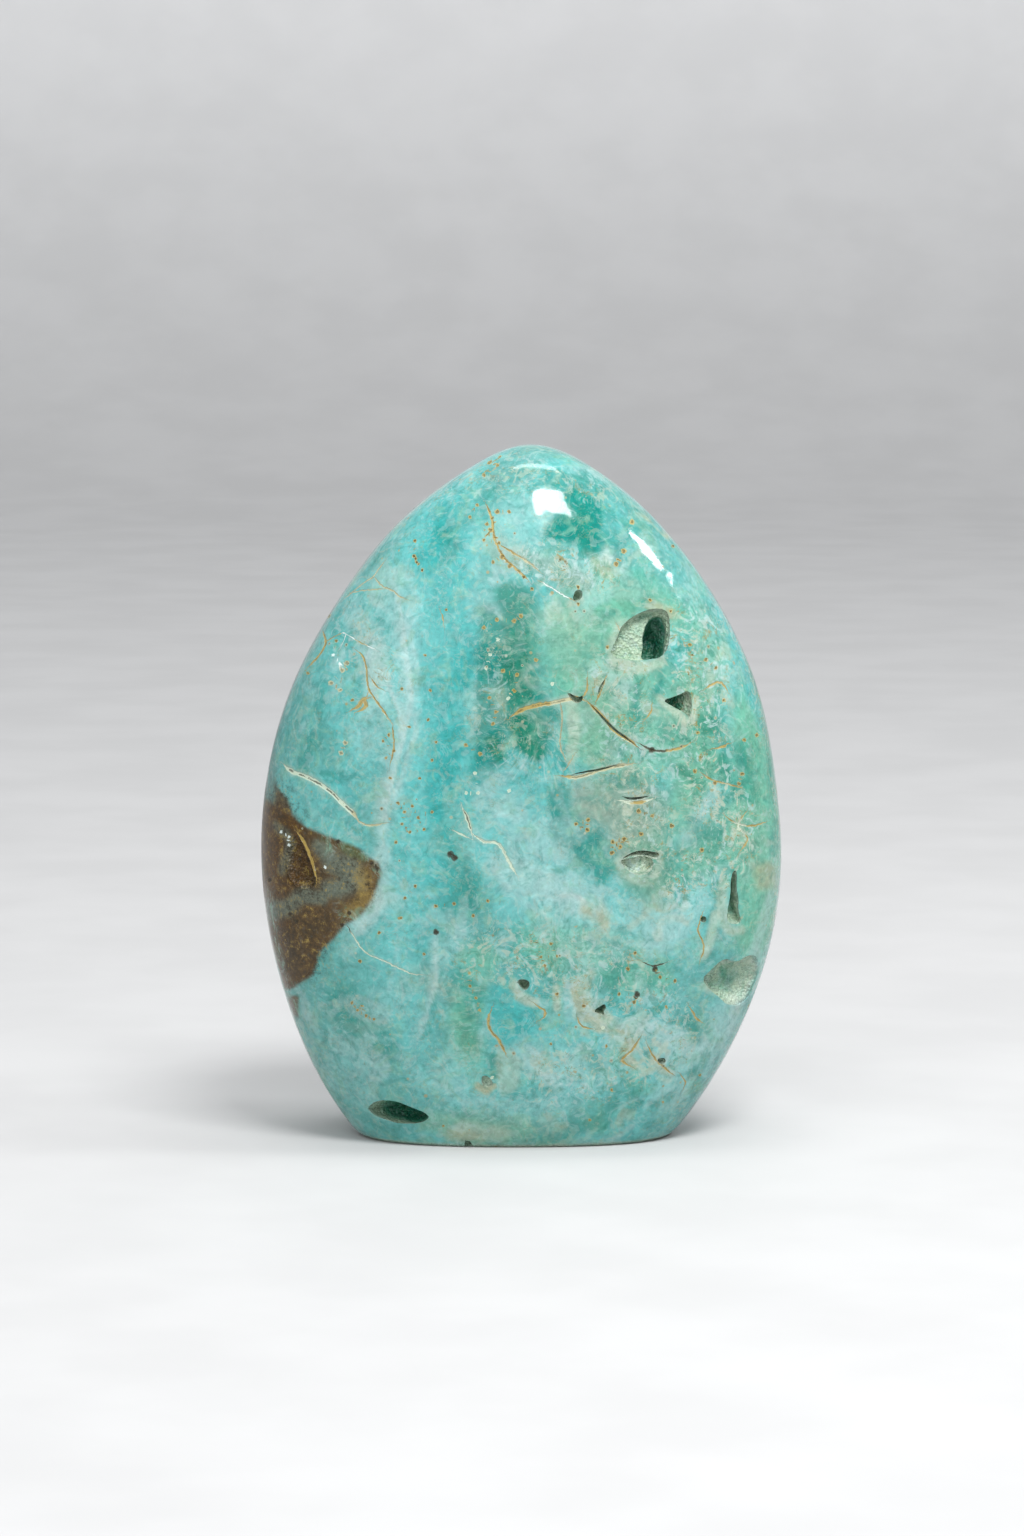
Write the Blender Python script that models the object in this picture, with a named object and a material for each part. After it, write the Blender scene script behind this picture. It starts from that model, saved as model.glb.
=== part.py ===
"""Blue aragonite flame: one polished stone, blunt at the tip, domed on both faces, cut flat at the foot.

Metres, +Z up. The origin is the middle of the foot, the front face looks to -Y.
The stone is a single solid with its open vugs, slots and pits cut into it.
"""

import math
import random
from typing import NamedTuple

import bmesh
import bpy
import numpy as np
from mathutils import Vector

MM = 0.001

# Driving dimensions of the stone
HALF_DEPTH = 18.0 * MM
HEART = Vector((0.0, 0.0, 44.0 * MM))  # the point that the surface is drawn out from
FRONT_FULLNESS = 2.5  # 2 is an ellipse in section, more is squarer at the shoulder
BACK_FULLNESS = 2.3
FOOT_ROUNDING = 1.5 * MM

# The widest section, seen from the front: (across, height) in millimetres, anticlockwise from the tip's right.
# It runs on below the foot, where the flat cut takes it off.
OUTLINE = (
    (1.2, 100.0), (-8.2, 96.2), (-17.5, 89.0), (-26.6, 77.3), (-32.9, 65.7), (-36.9, 51.2),
    (-37.6, 40.0), (-36.2, 27.9), (-32.9, 16.3), (-27.2, 4.7), (-17.5, -5.5), (0.0, -9.5),
    (15.5, -5.5), (25.5, 4.7), (32.0, 16.3), (36.0, 27.9), (37.5, 41.0), (36.7, 51.2),
    (33.7, 65.7), (28.2, 77.3), (19.4, 89.0), (10.9, 96.2),
)

# How finely the stone is faceted
POINTS_AROUND = 60
SIDE_RINGS = 38
EDGE_RINGS = 5  # through the small round at the foot's edge
TIP_CROWDING = 1.5  # over 1 sets the rings closer together toward the tip

STONE_COLOUR = (0.16, 0.52, 0.50, 1.0)
STONE_ROUGHNESS = 0.16

CUTTER_LIFT = 1.6 * MM  # how far a cutter stands out of the surface it opens
CRAG = 0.07  # unevenness of a vug's walls, as a share of its width


class Hollow(NamedTuple):
    """A natural opening. Its rim is drawn in millimetres as (across, height), as seen from one side."""

    name: str
    seen_from: float  # degrees round from the front: 90 is the right side, 180 the back
    rim: tuple
    depth: float  # millimetres
    lean: tuple  # where the floor lies from the rim's middle, (across, up), as a share of the depth
    floor: float  # width of the floor, as a share of the rim's


class Crack(NamedTuple):
    """A narrow open crack along a line drawn in millimetres as (across, height)."""

    name: str
    seen_from: float
    line: tuple
    width: float
    depth: float


FRONT_HOLLOWS = (
    Hollow(
        "vug_upper_right", 0,
        ((12.4, 71.4), (13.4, 73.2), (14.0, 75.0), (15.2, 76.2), (17.6, 77.2), (20.4, 77.1),
         (20.9, 74.2), (20.5, 72.3), (18.9, 70.5), (15.6, 70.5)),
        5.0, (0.25, -0.10), 0.50,
    ),
    Hollow(
        "vug_triangle", 0,
        ((19.8, 64.8), (21.8, 65.3), (23.8, 66.2), (24.1, 64.1), (24.0, 62.0), (22.9, 63.0), (21.2, 63.9)),
        2.6, (-0.30, 0.0), 0.55,
    ),
    Hollow(
        "vug_middle", 0,
        ((13.9, 42.4), (15.3, 43.3), (16.7, 43.7), (18.2, 43.5), (19.6, 43.2), (19.0, 41.4),
         (18.2, 40.4), (16.2, 40.4), (14.9, 41.2)),
        2.6, (0.10, 0.45), 0.50,
    ),
    Hollow(
        "vug_right_slot", 12,
        ((26.7, 40.2), (27.4, 40.2), (27.3, 37.6), (27.8, 35.8), (27.6, 34.5), (28.5, 32.2),
         (26.2, 32.4), (25.8, 33.8), (26.4, 37.0), (26.3, 38.6)),
        2.8, (0.20, -0.05), 0.45,
    ),
    Hollow(
        "basin_right_edge", 50,
        ((6.2, 24.7), (7.4, 25.9), (8.7, 27.2), (9.9, 27.4), (11.4, 26.6), (13.6, 27.6), (16.0, 27.0),
         (17.6, 24.4), (16.6, 21.0), (14.0, 19.9), (11.3, 20.2), (9.6, 21.6), (7.6, 23.0)),
        1.9, (-1.50, 0.20), 0.40,
    ),
    Hollow(
        "vug_lower_left", -22,
        ((-16.9, 5.4), (-15.0, 6.8), (-12.1, 6.9), (-10.2, 6.2), (-7.2, 5.0), (-8.0, 3.9),
         (-10.1, 3.4), (-12.4, 3.4), (-14.4, 3.8), (-16.4, 4.6)),
        4.4, (0.0, -0.10), 0.50,
    ),
    Hollow(
        "pit_below_tip", 0,
        ((7.1, 79.2), (7.6, 80.5), (8.6, 80.3), (8.5, 79.2), (7.6, 78.7)),
        1.6, (0.0, 0.0), 0.5,
    ),
    Hollow(
        "notch", 0,
        ((6.2, 66.1), (7.0, 65.9), (7.9, 65.3), (8.7, 65.8), (8.4, 64.6), (7.3, 64.6)),
        1.3, (0.3, 0.0), 0.5,
    ),
    Hollow(
        "pit_low_middle", 0,
        ((-0.8, 25.0), (-0.1, 25.4), (1.1, 25.1), (1.1, 24.2), (0.4, 23.5), (-0.3, 24.2)),
        1.9, (0.1, -0.2), 0.5,
    ),
    Hollow(
        "pit_low_right", 0,
        ((10.1, 20.6), (11.0, 21.2), (11.8, 21.7), (12.0, 21.0), (11.6, 20.5), (11.8, 19.7), (11.1, 20.0)),
        1.9, (0.1, 0.0), 0.5,
    ),
    Hollow(
        "pit_right_shoulder", 0,
        ((25.4, 33.9), (26.2, 33.8), (26.3, 32.9), (25.4, 32.8)),
        1.2, (0.0, 0.2), 0.5,
    ),
    Hollow(
        "pit_near_foot", 0,
        ((19.2, 13.1), (20.3, 13.3), (20.7, 12.6), (19.9, 11.9)),
        1.1, (0.2, 0.1), 0.5,
    ),
    Hollow(
        "dimple_near_foot", 0,
        ((-5.8, 11.1), (-4.9, 11.1), (-4.0, 10.1), (-4.4, 9.2), (-5.7, 9.4)),
        0.9, (0.0, 0.1), 0.5,
    ),
    Hollow(
        "dimple_brown", -35,
        ((-19.6, 45.6), (-17.9, 42.8), (-16.7, 40.3), (-16.4, 38.0), (-18.3, 36.9), (-21.0, 37.8),
         (-22.2, 40.5), (-21.6, 43.5)),
        1.5, (0.5, 0.0), 0.4,
    ),
)

BACK_HOLLOWS = (
    Hollow(
        "back_vug_upper", 180,
        ((5.0, 66.0), (6.4, 69.2), (9.6, 70.4), (12.0, 68.4), (11.2, 65.0), (8.6, 62.8), (6.0, 63.6)),
        4.2, (0.15, 0.2), 0.5,
    ),
    Hollow(
        "back_vug_side", 215,
        ((13.4, 45.8), (15.2, 47.6), (17.0, 45.0), (17.4, 41.2), (16.2, 38.4), (14.4, 39.6), (13.6, 42.6)),
        2.8, (0.1, 0.0), 0.5,
    ),
    Hollow(
        "back_vug_low", 180,
        ((-19.6, 21.4), (-16.6, 24.0), (-13.0, 23.8), (-11.4, 21.0), (-14.0, 19.0), (-17.8, 18.8)),
        3.2, (0.0, -0.2), 0.5,
    ),
    Hollow(
        "back_pit_middle", 180,
        ((-6.4, 44.6), (-5.2, 46.0), (-3.8, 45.0), (-4.4, 43.4), (-5.8, 43.2)),
        1.7, (0.0, 0.0), 0.5,
    ),
    Hollow(
        "back_pit_tip", 180,
        ((-4.2, 83.6), (-2.9, 84.6), (-1.7, 83.4), (-2.6, 82.0), (-3.8, 82.2)),
        1.5, (0.2, 0.0), 0.5,
    ),
)

CRACKS = (
    Crack("crack_upper", 0, ((9.6, 64.6), (11.1, 62.9), (13.1, 60.7), (14.7, 59.6), (16.2, 58.5)), 0.7, 1.0),
    Crack("crack_middle", 0, ((6.6, 54.4), (9.0, 54.9), (11.2, 55.3), (14.0, 55.9)), 0.6, 0.9),
    Crack("slot_middle", 0, ((14.1, 51.4), (15.2, 51.1), (16.7, 51.1), (18.1, 51.4)), 0.6, 1.0),
    Crack("slot_short", 0, ((11.6, 67.8), (11.1, 66.7), (10.6, 65.6)), 0.6, 0.7),
    Crack("back_crack", 180, ((-16.0, 57.5), (-12.0, 55.8), (-8.2, 56.6), (-4.0, 55.2)), 0.7, 1.0),
)

# A chip at the front edge of the foot: (across, height) of its upper edge, and how far it goes in, in millimetres
FOOT_CHIP_EDGE = ((-8.9, -0.4), (-8.4, 1.3), (-7.4, 1.1), (-6.0, -0.4))
FOOT_CHIP_DEPTH = 1.6


def outline_radius():
    """The outline as radius against angle round the heart, from a smooth closed curve through its points."""
    points = np.array(OUTLINE) * MM - np.array((HEART.x, HEART.z))
    count = len(points)
    spans = np.linalg.norm(np.roll(points, -1, 0) - points, axis=1)
    system = np.zeros((count, count))
    bends = np.zeros((count, 2))
    for i in range(count):
        before, after = spans[i - 1], spans[i]
        system[i, i - 1] += before
        system[i, i] += 2 * (before + after)
        system[i, (i + 1) % count] += after
        bends[i] = 6 * ((points[(i + 1) % count] - points[i]) / after - (points[i] - points[i - 1]) / before)
    second = np.linalg.solve(system, bends)
    curve = []
    for i in range(count):
        j = (i + 1) % count
        span = spans[i]
        t = np.linspace(0, span, 40, endpoint=False)[:, None]
        curve.append(
            second[i] * (span - t) ** 3 / (6 * span)
            + second[j] * t**3 / (6 * span)
            + (points[i] / span - second[i] * span / 6) * (span - t)
            + (points[j] / span - second[j] * span / 6) * t
        )
    curve = np.concatenate(curve)
    angles = np.arctan2(curve[:, 1], curve[:, 0])
    order = np.argsort(angles)
    return angles[order], np.hypot(curve[:, 0], curve[:, 1])[order]


ANGLES, RADII = outline_radius()


def stretch(direction):
    """How many times a direction from the heart fits in before it meets the polished surface."""
    angle = math.atan2(direction.z, direction.x)
    radius = float(np.interp(angle, ANGLES, RADII, period=2 * math.pi))
    fullness = FRONT_FULLNESS if direction.y < 0 else BACK_FULLNESS
    flat = math.hypot(direction.x, direction.z) / radius
    return (flat**fullness + (abs(direction.y) / HALF_DEPTH) ** fullness) ** (-1 / fullness)


def cut_foot(height):
    """Heights below the foot come up to it, through a small round at the edge."""
    if height >= FOOT_ROUNDING:
        return height
    if height <= -FOOT_ROUNDING:
        return 0.0
    return (height + FOOT_ROUNDING) ** 2 / (4 * FOOT_ROUNDING)


def sight(seen_from):
    """The directions across and into the stone for someone who stands seen_from degrees round it."""
    turn = math.radians(seen_from)
    return Vector((math.cos(turn), math.sin(turn), 0)), Vector((-math.sin(turn), math.cos(turn), 0))


def surface_point(seen_from, across, height):
    """The point of the polished surface that someone on that side sees there, in metres."""
    sideways, inward = sight(seen_from)
    middle = sideways * (across * MM) + Vector((0, 0, height * MM))
    outside, inside = -3 * HALF_DEPTH, 0.0
    for _ in range(30):
        halfway = (outside + inside) / 2
        if stretch(middle + inward * halfway - HEART) > 1:
            inside = halfway
        else:
            outside = halfway
    return middle + inward * inside


def outward(points):
    """The mean direction out of the stone over a ring of surface points, which runs clockwise as seen."""
    normal = Vector()
    for here, after in zip(points, points[1:] + points[:1]):
        normal += here.cross(after)
    return -normal.normalized()


def new_object(name, mesh_builder):
    """An object at the origin whose mesh comes from the given bmesh."""
    mesh = bpy.data.meshes.new(name)
    mesh_builder.to_mesh(mesh)
    mesh_builder.free()
    made = bpy.data.objects.new(name, mesh)
    bpy.context.collection.objects.link(made)
    return made


def stone_material():
    material = bpy.data.materials.new("blue_aragonite")
    material.use_nodes = True
    shader = material.node_tree.nodes["Principled BSDF"]
    shader.inputs["Base Color"].default_value = STONE_COLOUR
    shader.inputs["Roughness"].default_value = STONE_ROUGHNESS
    shader.inputs["Metallic"].default_value = 0.0
    return material


def tip():
    """The highest point of the outline, in metres."""
    across, up = RADII * np.cos(ANGLES), RADII * np.sin(ANGLES)
    top = int(np.argmax(up))
    return Vector((across[top], 0, HEART.z + up[top]))


def ring_heights():
    """Heights of the rings, from the foot's edge to just under the tip, before the foot is cut."""
    edge = np.linspace(-FOOT_ROUNDING, FOOT_ROUNDING, EDGE_RINGS)
    rise = tip().z - FOOT_ROUNDING
    left_to_go = 1 - np.arange(1, SIDE_RINGS) / SIDE_RINGS
    return [*edge, *(FOOT_ROUNDING + rise * (1 - left_to_go**TIP_CROWDING))]


def ring_point(turn, height):
    """The surface point at that height, out from the stone's upright axis in the direction of turn."""
    top = tip()
    axis = Vector((top.x * (height / top.z) ** 2, 0, height))
    half_width = max(across for across, _ in OUTLINE) * MM
    out = Vector((half_width * math.cos(turn), HALF_DEPTH * math.sin(turn), 0)).normalized()
    inside, outside = 0.0, 2 * half_width
    for _ in range(30):
        halfway = (inside + outside) / 2
        if stretch(axis + out * halfway - HEART) > 1:
            inside = halfway
        else:
            outside = halfway
    return axis + out * inside


def make_body():
    """A capped tube whose rings are drawn out to the stone's surface, from the flat foot up to the tip."""
    heights = ring_heights()
    form = bmesh.new()
    bmesh.ops.create_cone(
        form, cap_ends=True, cap_tris=True, segments=POINTS_AROUND, radius1=1.0, radius2=1.0, depth=1.0
    )
    risers = [edge for edge in form.edges if abs(edge.verts[0].co.z - edge.verts[1].co.z) > 0.5]
    bmesh.ops.subdivide_edges(form, edges=risers, cuts=len(heights) - 2, use_grid_fill=True)
    for vertex in form.verts:
        level = round((vertex.co.z + 0.5) * (len(heights) - 1))
        if vertex.co.xy.length > 0.5:
            drawn = ring_point(math.atan2(vertex.co.y, vertex.co.x), heights[level])
            vertex.co = Vector((drawn.x, drawn.y, cut_foot(drawn.z)))
        else:
            vertex.co = tip() if level else Vector()
    bmesh.ops.recalc_face_normals(form, faces=form.faces)
    body = new_object("aragonite_flame", form)
    body.data.materials.append(stone_material())
    body.data.shade_smooth()
    body.data.set_sharp_from_angle(angle=math.radians(30))
    return body


def loft(name, rings):
    """A closed solid through rings of points, with a fan over each end."""
    form = bmesh.new()
    made = [[form.verts.new(point) for point in ring] for ring in rings]
    count = len(rings[0])
    for upper, lower in zip(made, made[1:]):
        for i in range(count):
            j = (i + 1) % count
            form.faces.new((upper[i], upper[j], lower[j], lower[i]))
    for ring in (made[0], made[-1]):
        middle = form.verts.new(sum((vertex.co for vertex in ring), Vector()) / count)
        for i in range(count):
            form.faces.new((middle, ring[i], ring[(i + 1) % count]))
    bmesh.ops.recalc_face_normals(form, faces=form.faces)
    cutter = new_object(name, form)
    cutter.hide_render = True
    cutter.display_type = "WIRE"
    return cutter


def hollow_cutter(hollow, chance):
    """A craggy plug that narrows from the rim to the floor and leans as the vug does."""
    rim = [surface_point(hollow.seen_from, across, height) for across, height in hollow.rim]
    middle = sum(rim, Vector()) / len(rim)
    out = outward(rim)
    sideways, _ = sight(hollow.seen_from)
    shift = sideways * hollow.lean[0] + Vector((0, 0, hollow.lean[1]))
    width = sum((point - middle).length for point in rim) / len(rim)
    depth = hollow.depth * MM
    rings = [[middle + (point - middle) * 1.06 + out * CUTTER_LIFT for point in rim], rim]
    for share in (0.35, 0.75, 1.0):
        size = 1 + (hollow.floor - 1) * share**1.6
        centre = middle - out * depth * share + shift * depth * share
        ring = []
        for point in rim:
            crag = Vector(chance.uniform(-1, 1) for _ in range(3)) * CRAG * width
            flat = (point - middle) - out * (point - middle).dot(out)
            ring.append(centre + flat * size + crag)
        rings.append(ring)
    return loft(hollow.name, rings)


def crack_cutter(crack):
    """A wedge that follows the crack, as wide as it in the middle and pointed at both ends."""
    line = [surface_point(crack.seen_from, across, height) for across, height in crack.line]
    _, inward = sight(crack.seen_from)
    half = crack.width * MM / 2
    count = len(line)
    left, right, keel = [], [], []
    for i, point in enumerate(line):
        along = (line[min(i + 1, count - 1)] - line[max(i - 1, 0)]).normalized()
        beside = along.cross(inward).normalized() * half
        swell = math.sin(math.pi * (i + 0.35) / (count - 0.3))
        left.append(point + beside * swell)
        right.append(point - beside * swell)
        keel.append(point + inward * crack.depth * MM * swell)
    form = bmesh.new()
    lift = -inward * CUTTER_LIFT / 2
    rails = []
    for rail in ([p + lift for p in left], [p + lift for p in right], right, keel, left):
        rails.append([form.verts.new(point) for point in rail])
    for upper, lower in zip(rails, rails[1:] + rails[:1]):
        for i in range(count - 1):
            form.faces.new((upper[i], upper[i + 1], lower[i + 1], lower[i]))
    for end in (0, -1):
        form.faces.new([rail[end] for rail in rails])
    bmesh.ops.recalc_face_normals(form, faces=form.faces)
    cutter = new_object(crack.name, form)
    cutter.hide_render = True
    cutter.display_type = "WIRE"
    return cutter


def chip_cutter():
    """A wedge that takes a flake off the front edge of the foot."""
    front = -HALF_DEPTH
    outer = [Vector((across * MM, front, height * MM)) for across, height in FOOT_CHIP_EDGE]
    edge = surface_point(0, FOOT_CHIP_EDGE[1][0], FOOT_CHIP_EDGE[1][1]).y
    middle = sum(outer, Vector()) / len(outer)
    inner = []
    for point in outer:
        deep = Vector((middle.x + (point.x - middle.x) * 0.5, edge + FOOT_CHIP_DEPTH * MM, point.z * 0.6))
        inner.append(deep)
    return loft("foot_chip", [outer, inner])


def cut(body, cutter):
    modifier = body.modifiers.new(cutter.name, "BOOLEAN")
    modifier.operation = "DIFFERENCE"
    modifier.solver = "EXACT"
    modifier.object = cutter


def main():
    for old in list(bpy.data.objects):
        bpy.data.objects.remove(old, do_unlink=True)
    body = make_body()
    chance = random.Random(7)
    for hollow in FRONT_HOLLOWS + BACK_HOLLOWS:
        cut(body, hollow_cutter(hollow, chance))
    for crack in CRACKS:
        cut(body, crack_cutter(crack))
    cut(body, chip_cutter())


main()
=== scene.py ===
"""The looks of the blue aragonite flame: the polished stone with its open vugs, veils, veins and flecks.

Laid out as a Blender add-on and run as a script. Places on the stone are in millimetres from the middle
of its foot: across to the right as the front is seen, and height above the foot.
"""

import math
from typing import NamedTuple

import bmesh
import bpy
import numpy as np
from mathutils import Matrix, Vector


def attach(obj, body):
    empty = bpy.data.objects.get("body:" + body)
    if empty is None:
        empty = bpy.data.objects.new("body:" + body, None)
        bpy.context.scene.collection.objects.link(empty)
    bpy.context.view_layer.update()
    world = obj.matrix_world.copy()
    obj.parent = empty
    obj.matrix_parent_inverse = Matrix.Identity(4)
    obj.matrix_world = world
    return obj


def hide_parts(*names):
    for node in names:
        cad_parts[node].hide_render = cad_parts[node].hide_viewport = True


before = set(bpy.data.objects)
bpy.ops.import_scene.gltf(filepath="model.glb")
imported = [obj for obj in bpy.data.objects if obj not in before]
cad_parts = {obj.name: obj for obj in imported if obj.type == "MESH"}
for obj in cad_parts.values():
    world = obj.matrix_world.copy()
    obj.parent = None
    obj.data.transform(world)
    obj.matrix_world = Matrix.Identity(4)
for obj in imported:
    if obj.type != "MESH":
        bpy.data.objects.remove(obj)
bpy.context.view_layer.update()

bl_info = {
    "name": "Blue aragonite flame",
    "version": (1, 0, 0),
    "blender": (4, 5, 0),
    "location": "View3D > Sidebar > Stone",
    "description": "Models a polished blue aragonite flame with its vugs, veils and veins",
    "category": "Object",
}

MM = 0.001
NODE = "aragonite_flame"
PIECE = "flame_stone"
FRONT, BACK = -1, 1

# The polished form is the solid's own, drawn out from a heart above the middle of the foot
HEART_HEIGHT = 44.0
OUTLINE = (
    (1.2, 100.0), (-8.2, 96.2), (-17.5, 89.0), (-26.6, 77.3), (-32.9, 65.7), (-36.9, 51.2),
    (-37.6, 40.0), (-36.2, 27.9), (-32.9, 16.3), (-27.2, 4.7), (-17.5, -5.5), (0.0, -9.5),
    (15.5, -5.5), (25.5, 4.7), (32.0, 16.3), (36.0, 27.9), (37.5, 41.0), (36.7, 51.2),
    (33.7, 65.7), (28.2, 77.3), (19.4, 89.0), (10.9, 96.2),
)

# The camera stands where the photograph was taken from
VIEW_ELEVATION = math.radians(7.0)
VIEW_DISTANCE = 0.75
VIEW_TARGET = Vector((-0.0014, 0.0, 0.0533))
VIEW_FOCAL_MM = 121.8
SENSOR_MM = 36.0
PICTURE_WIDTH, PICTURE_HEIGHT = 1024, 1536
PICTURE_FOCAL = VIEW_FOCAL_MM / SENSOR_MM * PICTURE_HEIGHT
POINTS_PER_MM = PICTURE_FOCAL * MM / VIEW_DISTANCE

# Where the polish mirrors the lamps, in the front's picture
KEY_SEEN_AT = (547, 497)
STRIP_SEEN_AT = (650, 552)


def linear(shade):
    """A colour as light, from its 0 to 255 screen values."""
    return [c / 255 / 12.92 if c <= 10 else ((c / 255 + 0.055) / 1.055) ** 2.4 for c in shade]


def colour(label, words, shade):
    return bpy.props.FloatVectorProperty(
        name=label, description=words, subtype="COLOR", size=3, min=0, max=1, default=linear(shade)
    )


class StoneSizes(bpy.types.PropertyGroup):
    """Sizes of the stone that a user would change."""

    half_depth: bpy.props.FloatProperty(
        name="Half depth", description="From the middle of the stone to either face",
        default=18.0 * MM, unit="LENGTH",
    )
    front_fullness: bpy.props.FloatProperty(
        name="Front fullness", description="2 is an ellipse in section, more is squarer at the shoulder",
        default=2.5,
    )
    back_fullness: bpy.props.FloatProperty(
        name="Back fullness", description="The same for the back", default=2.3,
    )
    colour_depth: bpy.props.FloatProperty(
        name="Colour depth", description="Lower makes the whole stone darker and richer",
        default=0.70, min=0, max=1, subtype="FACTOR",
    )
    richness: bpy.props.FloatProperty(
        name="Richness", description="Strength of the colours: 1 is as painted", default=1.0, min=0,
    )
    foot_rounding: bpy.props.FloatProperty(
        name="Foot rounding", description="Height of the round at the edge of the foot",
        default=1.5 * MM, unit="LENGTH",
    )


class StoneColours(bpy.types.PropertyGroup):
    """Colours that the stone is painted with."""

    teal: colour("Teal", "The stone's main colour", (100, 178, 173))
    sky: colour("Sky blue", "Smooth bright bands", (110, 200, 198))
    cyan: colour("Cyan", "The strongest blue", (52, 176, 174))
    ice: colour("Ice blue", "Pale blue clouds", (158, 211, 207))
    veil: colour("Veil", "White wisps", (184, 214, 211))
    white: colour("White", "Fibres and the brightest veils", (216, 230, 226))
    deep: colour("Deep teal", "The darkest blue-green patches", (6, 142, 130))
    green: colour("Deep green", "Needle zone and hollows", (16, 130, 104))
    sea: colour("Sea green", "The right side", (112, 188, 160))
    mint: colour("Mint", "Pale green areas", (134, 190, 166))
    cream: colour("Cream", "Crusts and halos", (190, 204, 182))
    beige: colour("Grey beige", "The dull zone right of the middle", (152, 178, 162))
    sand: colour("Sand", "Tan halos", (178, 174, 136))
    tan: colour("Tan", "Specks and vein fillings", (166, 142, 70))
    brown: colour("Brown", "The granular patch", (90, 60, 4))
    umber: colour("Umber", "Dark cores", (50, 40, 12))
    smoke: colour("Smoke", "Grey-green inside the brown patch", (106, 120, 106))
    # Slate is painted shade: it is laid only along the rim of the stone, where it makes the edge duller and
    # darker.
    slate: colour("Slate", "Dull darker teal at the left rim", (100, 158, 152))
    moss: colour("Moss", "Olive green hollows", (88, 122, 74))
    # Pine is partly the vugs' dark green lining, partly painted shade at their bottom.
    pine: colour("Pine", "The bottom of the vugs", (12, 84, 56))


class Form:
    """The stone's polished form, in millimetres."""

    def __init__(self, sizes):
        self.half_depth = sizes.half_depth / MM
        self.fullness = {FRONT: sizes.front_fullness, BACK: sizes.back_fullness}
        self.rounding = sizes.foot_rounding / MM
        self.half_width = max(across for across, _ in OUTLINE)
        self.half_height = max(height for _, height in OUTLINE) - HEART_HEIGHT
        self.angles, self.radii = self.outline_radius()

    def outline_radius(self):
        """The outline as radius against angle round the heart, from a smooth closed curve."""
        points = np.array(OUTLINE) - np.array((0.0, HEART_HEIGHT))
        count = len(points)
        spans = np.linalg.norm(np.roll(points, -1, 0) - points, axis=1)
        system = np.zeros((count, count))
        bends = np.zeros((count, 2))
        for i in range(count):
            j = (i + 1) % count
            before, after = spans[i - 1], spans[i]
            system[i, i - 1] += before
            system[i, i] += 2 * (before + after)
            system[i, j] += after
            bends[i] = 6 * ((points[j] - points[i]) / after - (points[i] - points[i - 1]) / before)
        second = np.linalg.solve(system, bends)
        curve = []
        for i in range(count):
            j = (i + 1) % count
            span = spans[i]
            t = np.linspace(0, span, 40, endpoint=False)[:, None]
            curve.append(
                second[i] * (span - t) ** 3 / (6 * span)
                + second[j] * t**3 / (6 * span)
                + (points[i] / span - second[i] * span / 6) * (span - t)
                + (points[j] / span - second[j] * span / 6) * t
            )
        curve = np.concatenate(curve)
        angles = np.arctan2(curve[:, 1], curve[:, 0])
        order = np.argsort(angles)
        return angles[order], np.hypot(curve[:, 0], curve[:, 1])[order]

    def flatness(self, across, up):
        """How far out a place is, seen from the front: 0 at the heart, 1 on the outline."""
        radius = np.interp(np.arctan2(up, across), self.angles, self.radii, period=2 * math.pi)
        return np.hypot(across, up) / radius

    def stretch(self, away):
        """How many times each direction from the heart fits in before it meets the polished surface."""
        fullness = np.where(away[:, 1] < 0, self.fullness[FRONT], self.fullness[BACK])
        flat = self.flatness(away[:, 0], away[:, 2])
        deep = np.abs(away[:, 1]) / self.half_depth
        return (flat**fullness + deep**fullness) ** (-1 / fullness)

    def cut_foot(self, height):
        """Heights below the foot come up to it, through the small round at its edge."""
        eased = (height + self.rounding) ** 2 / (4 * self.rounding)
        return np.where(height >= self.rounding, height, np.where(height <= -self.rounding, 0.0, eased))

    def on_face(self, side, across, height):
        """Surface points of the front or the back at those places."""
        across, height = np.asarray(across, float), np.asarray(height, float)
        flat = np.minimum(self.flatness(across, height - HEART_HEIGHT), 1.0)
        fullness = self.fullness[side]
        deep = self.half_depth * (1 - flat**fullness) ** (1 / fullness)
        return np.stack([across, side * deep, height], -1)

    def depth_below(self, points):
        """How far under the polish each point lies, measured toward the heart."""
        away = points - np.array((0.0, 0.0, HEART_HEIGHT))
        length = np.linalg.norm(away, axis=1)
        return length * (self.stretch(away) - 1)


def sight(seen_from):
    """The directions across and into the stone for someone who stands seen_from degrees round it."""
    turn = math.radians(seen_from)
    return Vector((math.cos(turn), math.sin(turn), 0)), Vector((-math.sin(turn), math.cos(turn), 0))


# How often a search for the surface halves its span, and the reach and steps of a look along a sight line
HALVINGS = 26
LOOK_HALVINGS = 14
LOOK_REACH = 42
LOOK_STEPS = 43


def seen_point(form, seen_from, across, height):
    """The surface point that someone on that side sees there, in millimetres."""
    sideways, inward = sight(seen_from)
    start = sideways * across + Vector((0, 0, height))
    outside, inside = -3 * form.half_depth, 0.0
    for _ in range(HALVINGS):
        halfway = (outside + inside) / 2
        point = np.array([start + inward * halfway])
        if form.depth_below(point)[0] > 0:
            inside = halfway
        else:
            outside = halfway
    return start + inward * inside


def hashed(x, y, z, seed):
    """A repeatable value from 0 to 1 for each cell."""
    n = x * 374761393 + y * 668265263 + z * 1440662683 + seed * 1274126177
    n = (n ^ (n >> 13)) * 1274126177 & 0xFFFFFFFF
    return ((n ^ (n >> 16)) & 0xFFFFFF) / 0xFFFFFF


def noise(points, size, seed):
    """Smooth noise from -1 to 1 whose lumps are about size across."""
    scaled = points / size + 100.0
    cell = np.floor(scaled).astype(np.int64)
    part = scaled - cell
    part = part * part * (3 - 2 * part)
    total = np.zeros(len(points))
    for corner in range(8):
        step = np.array((corner & 1, corner >> 1 & 1, corner >> 2))
        weight = np.prod(np.where(step, part, 1 - part), axis=1)
        total += weight * hashed(*(cell + step).T, seed)
    return total * 2 - 1


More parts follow.
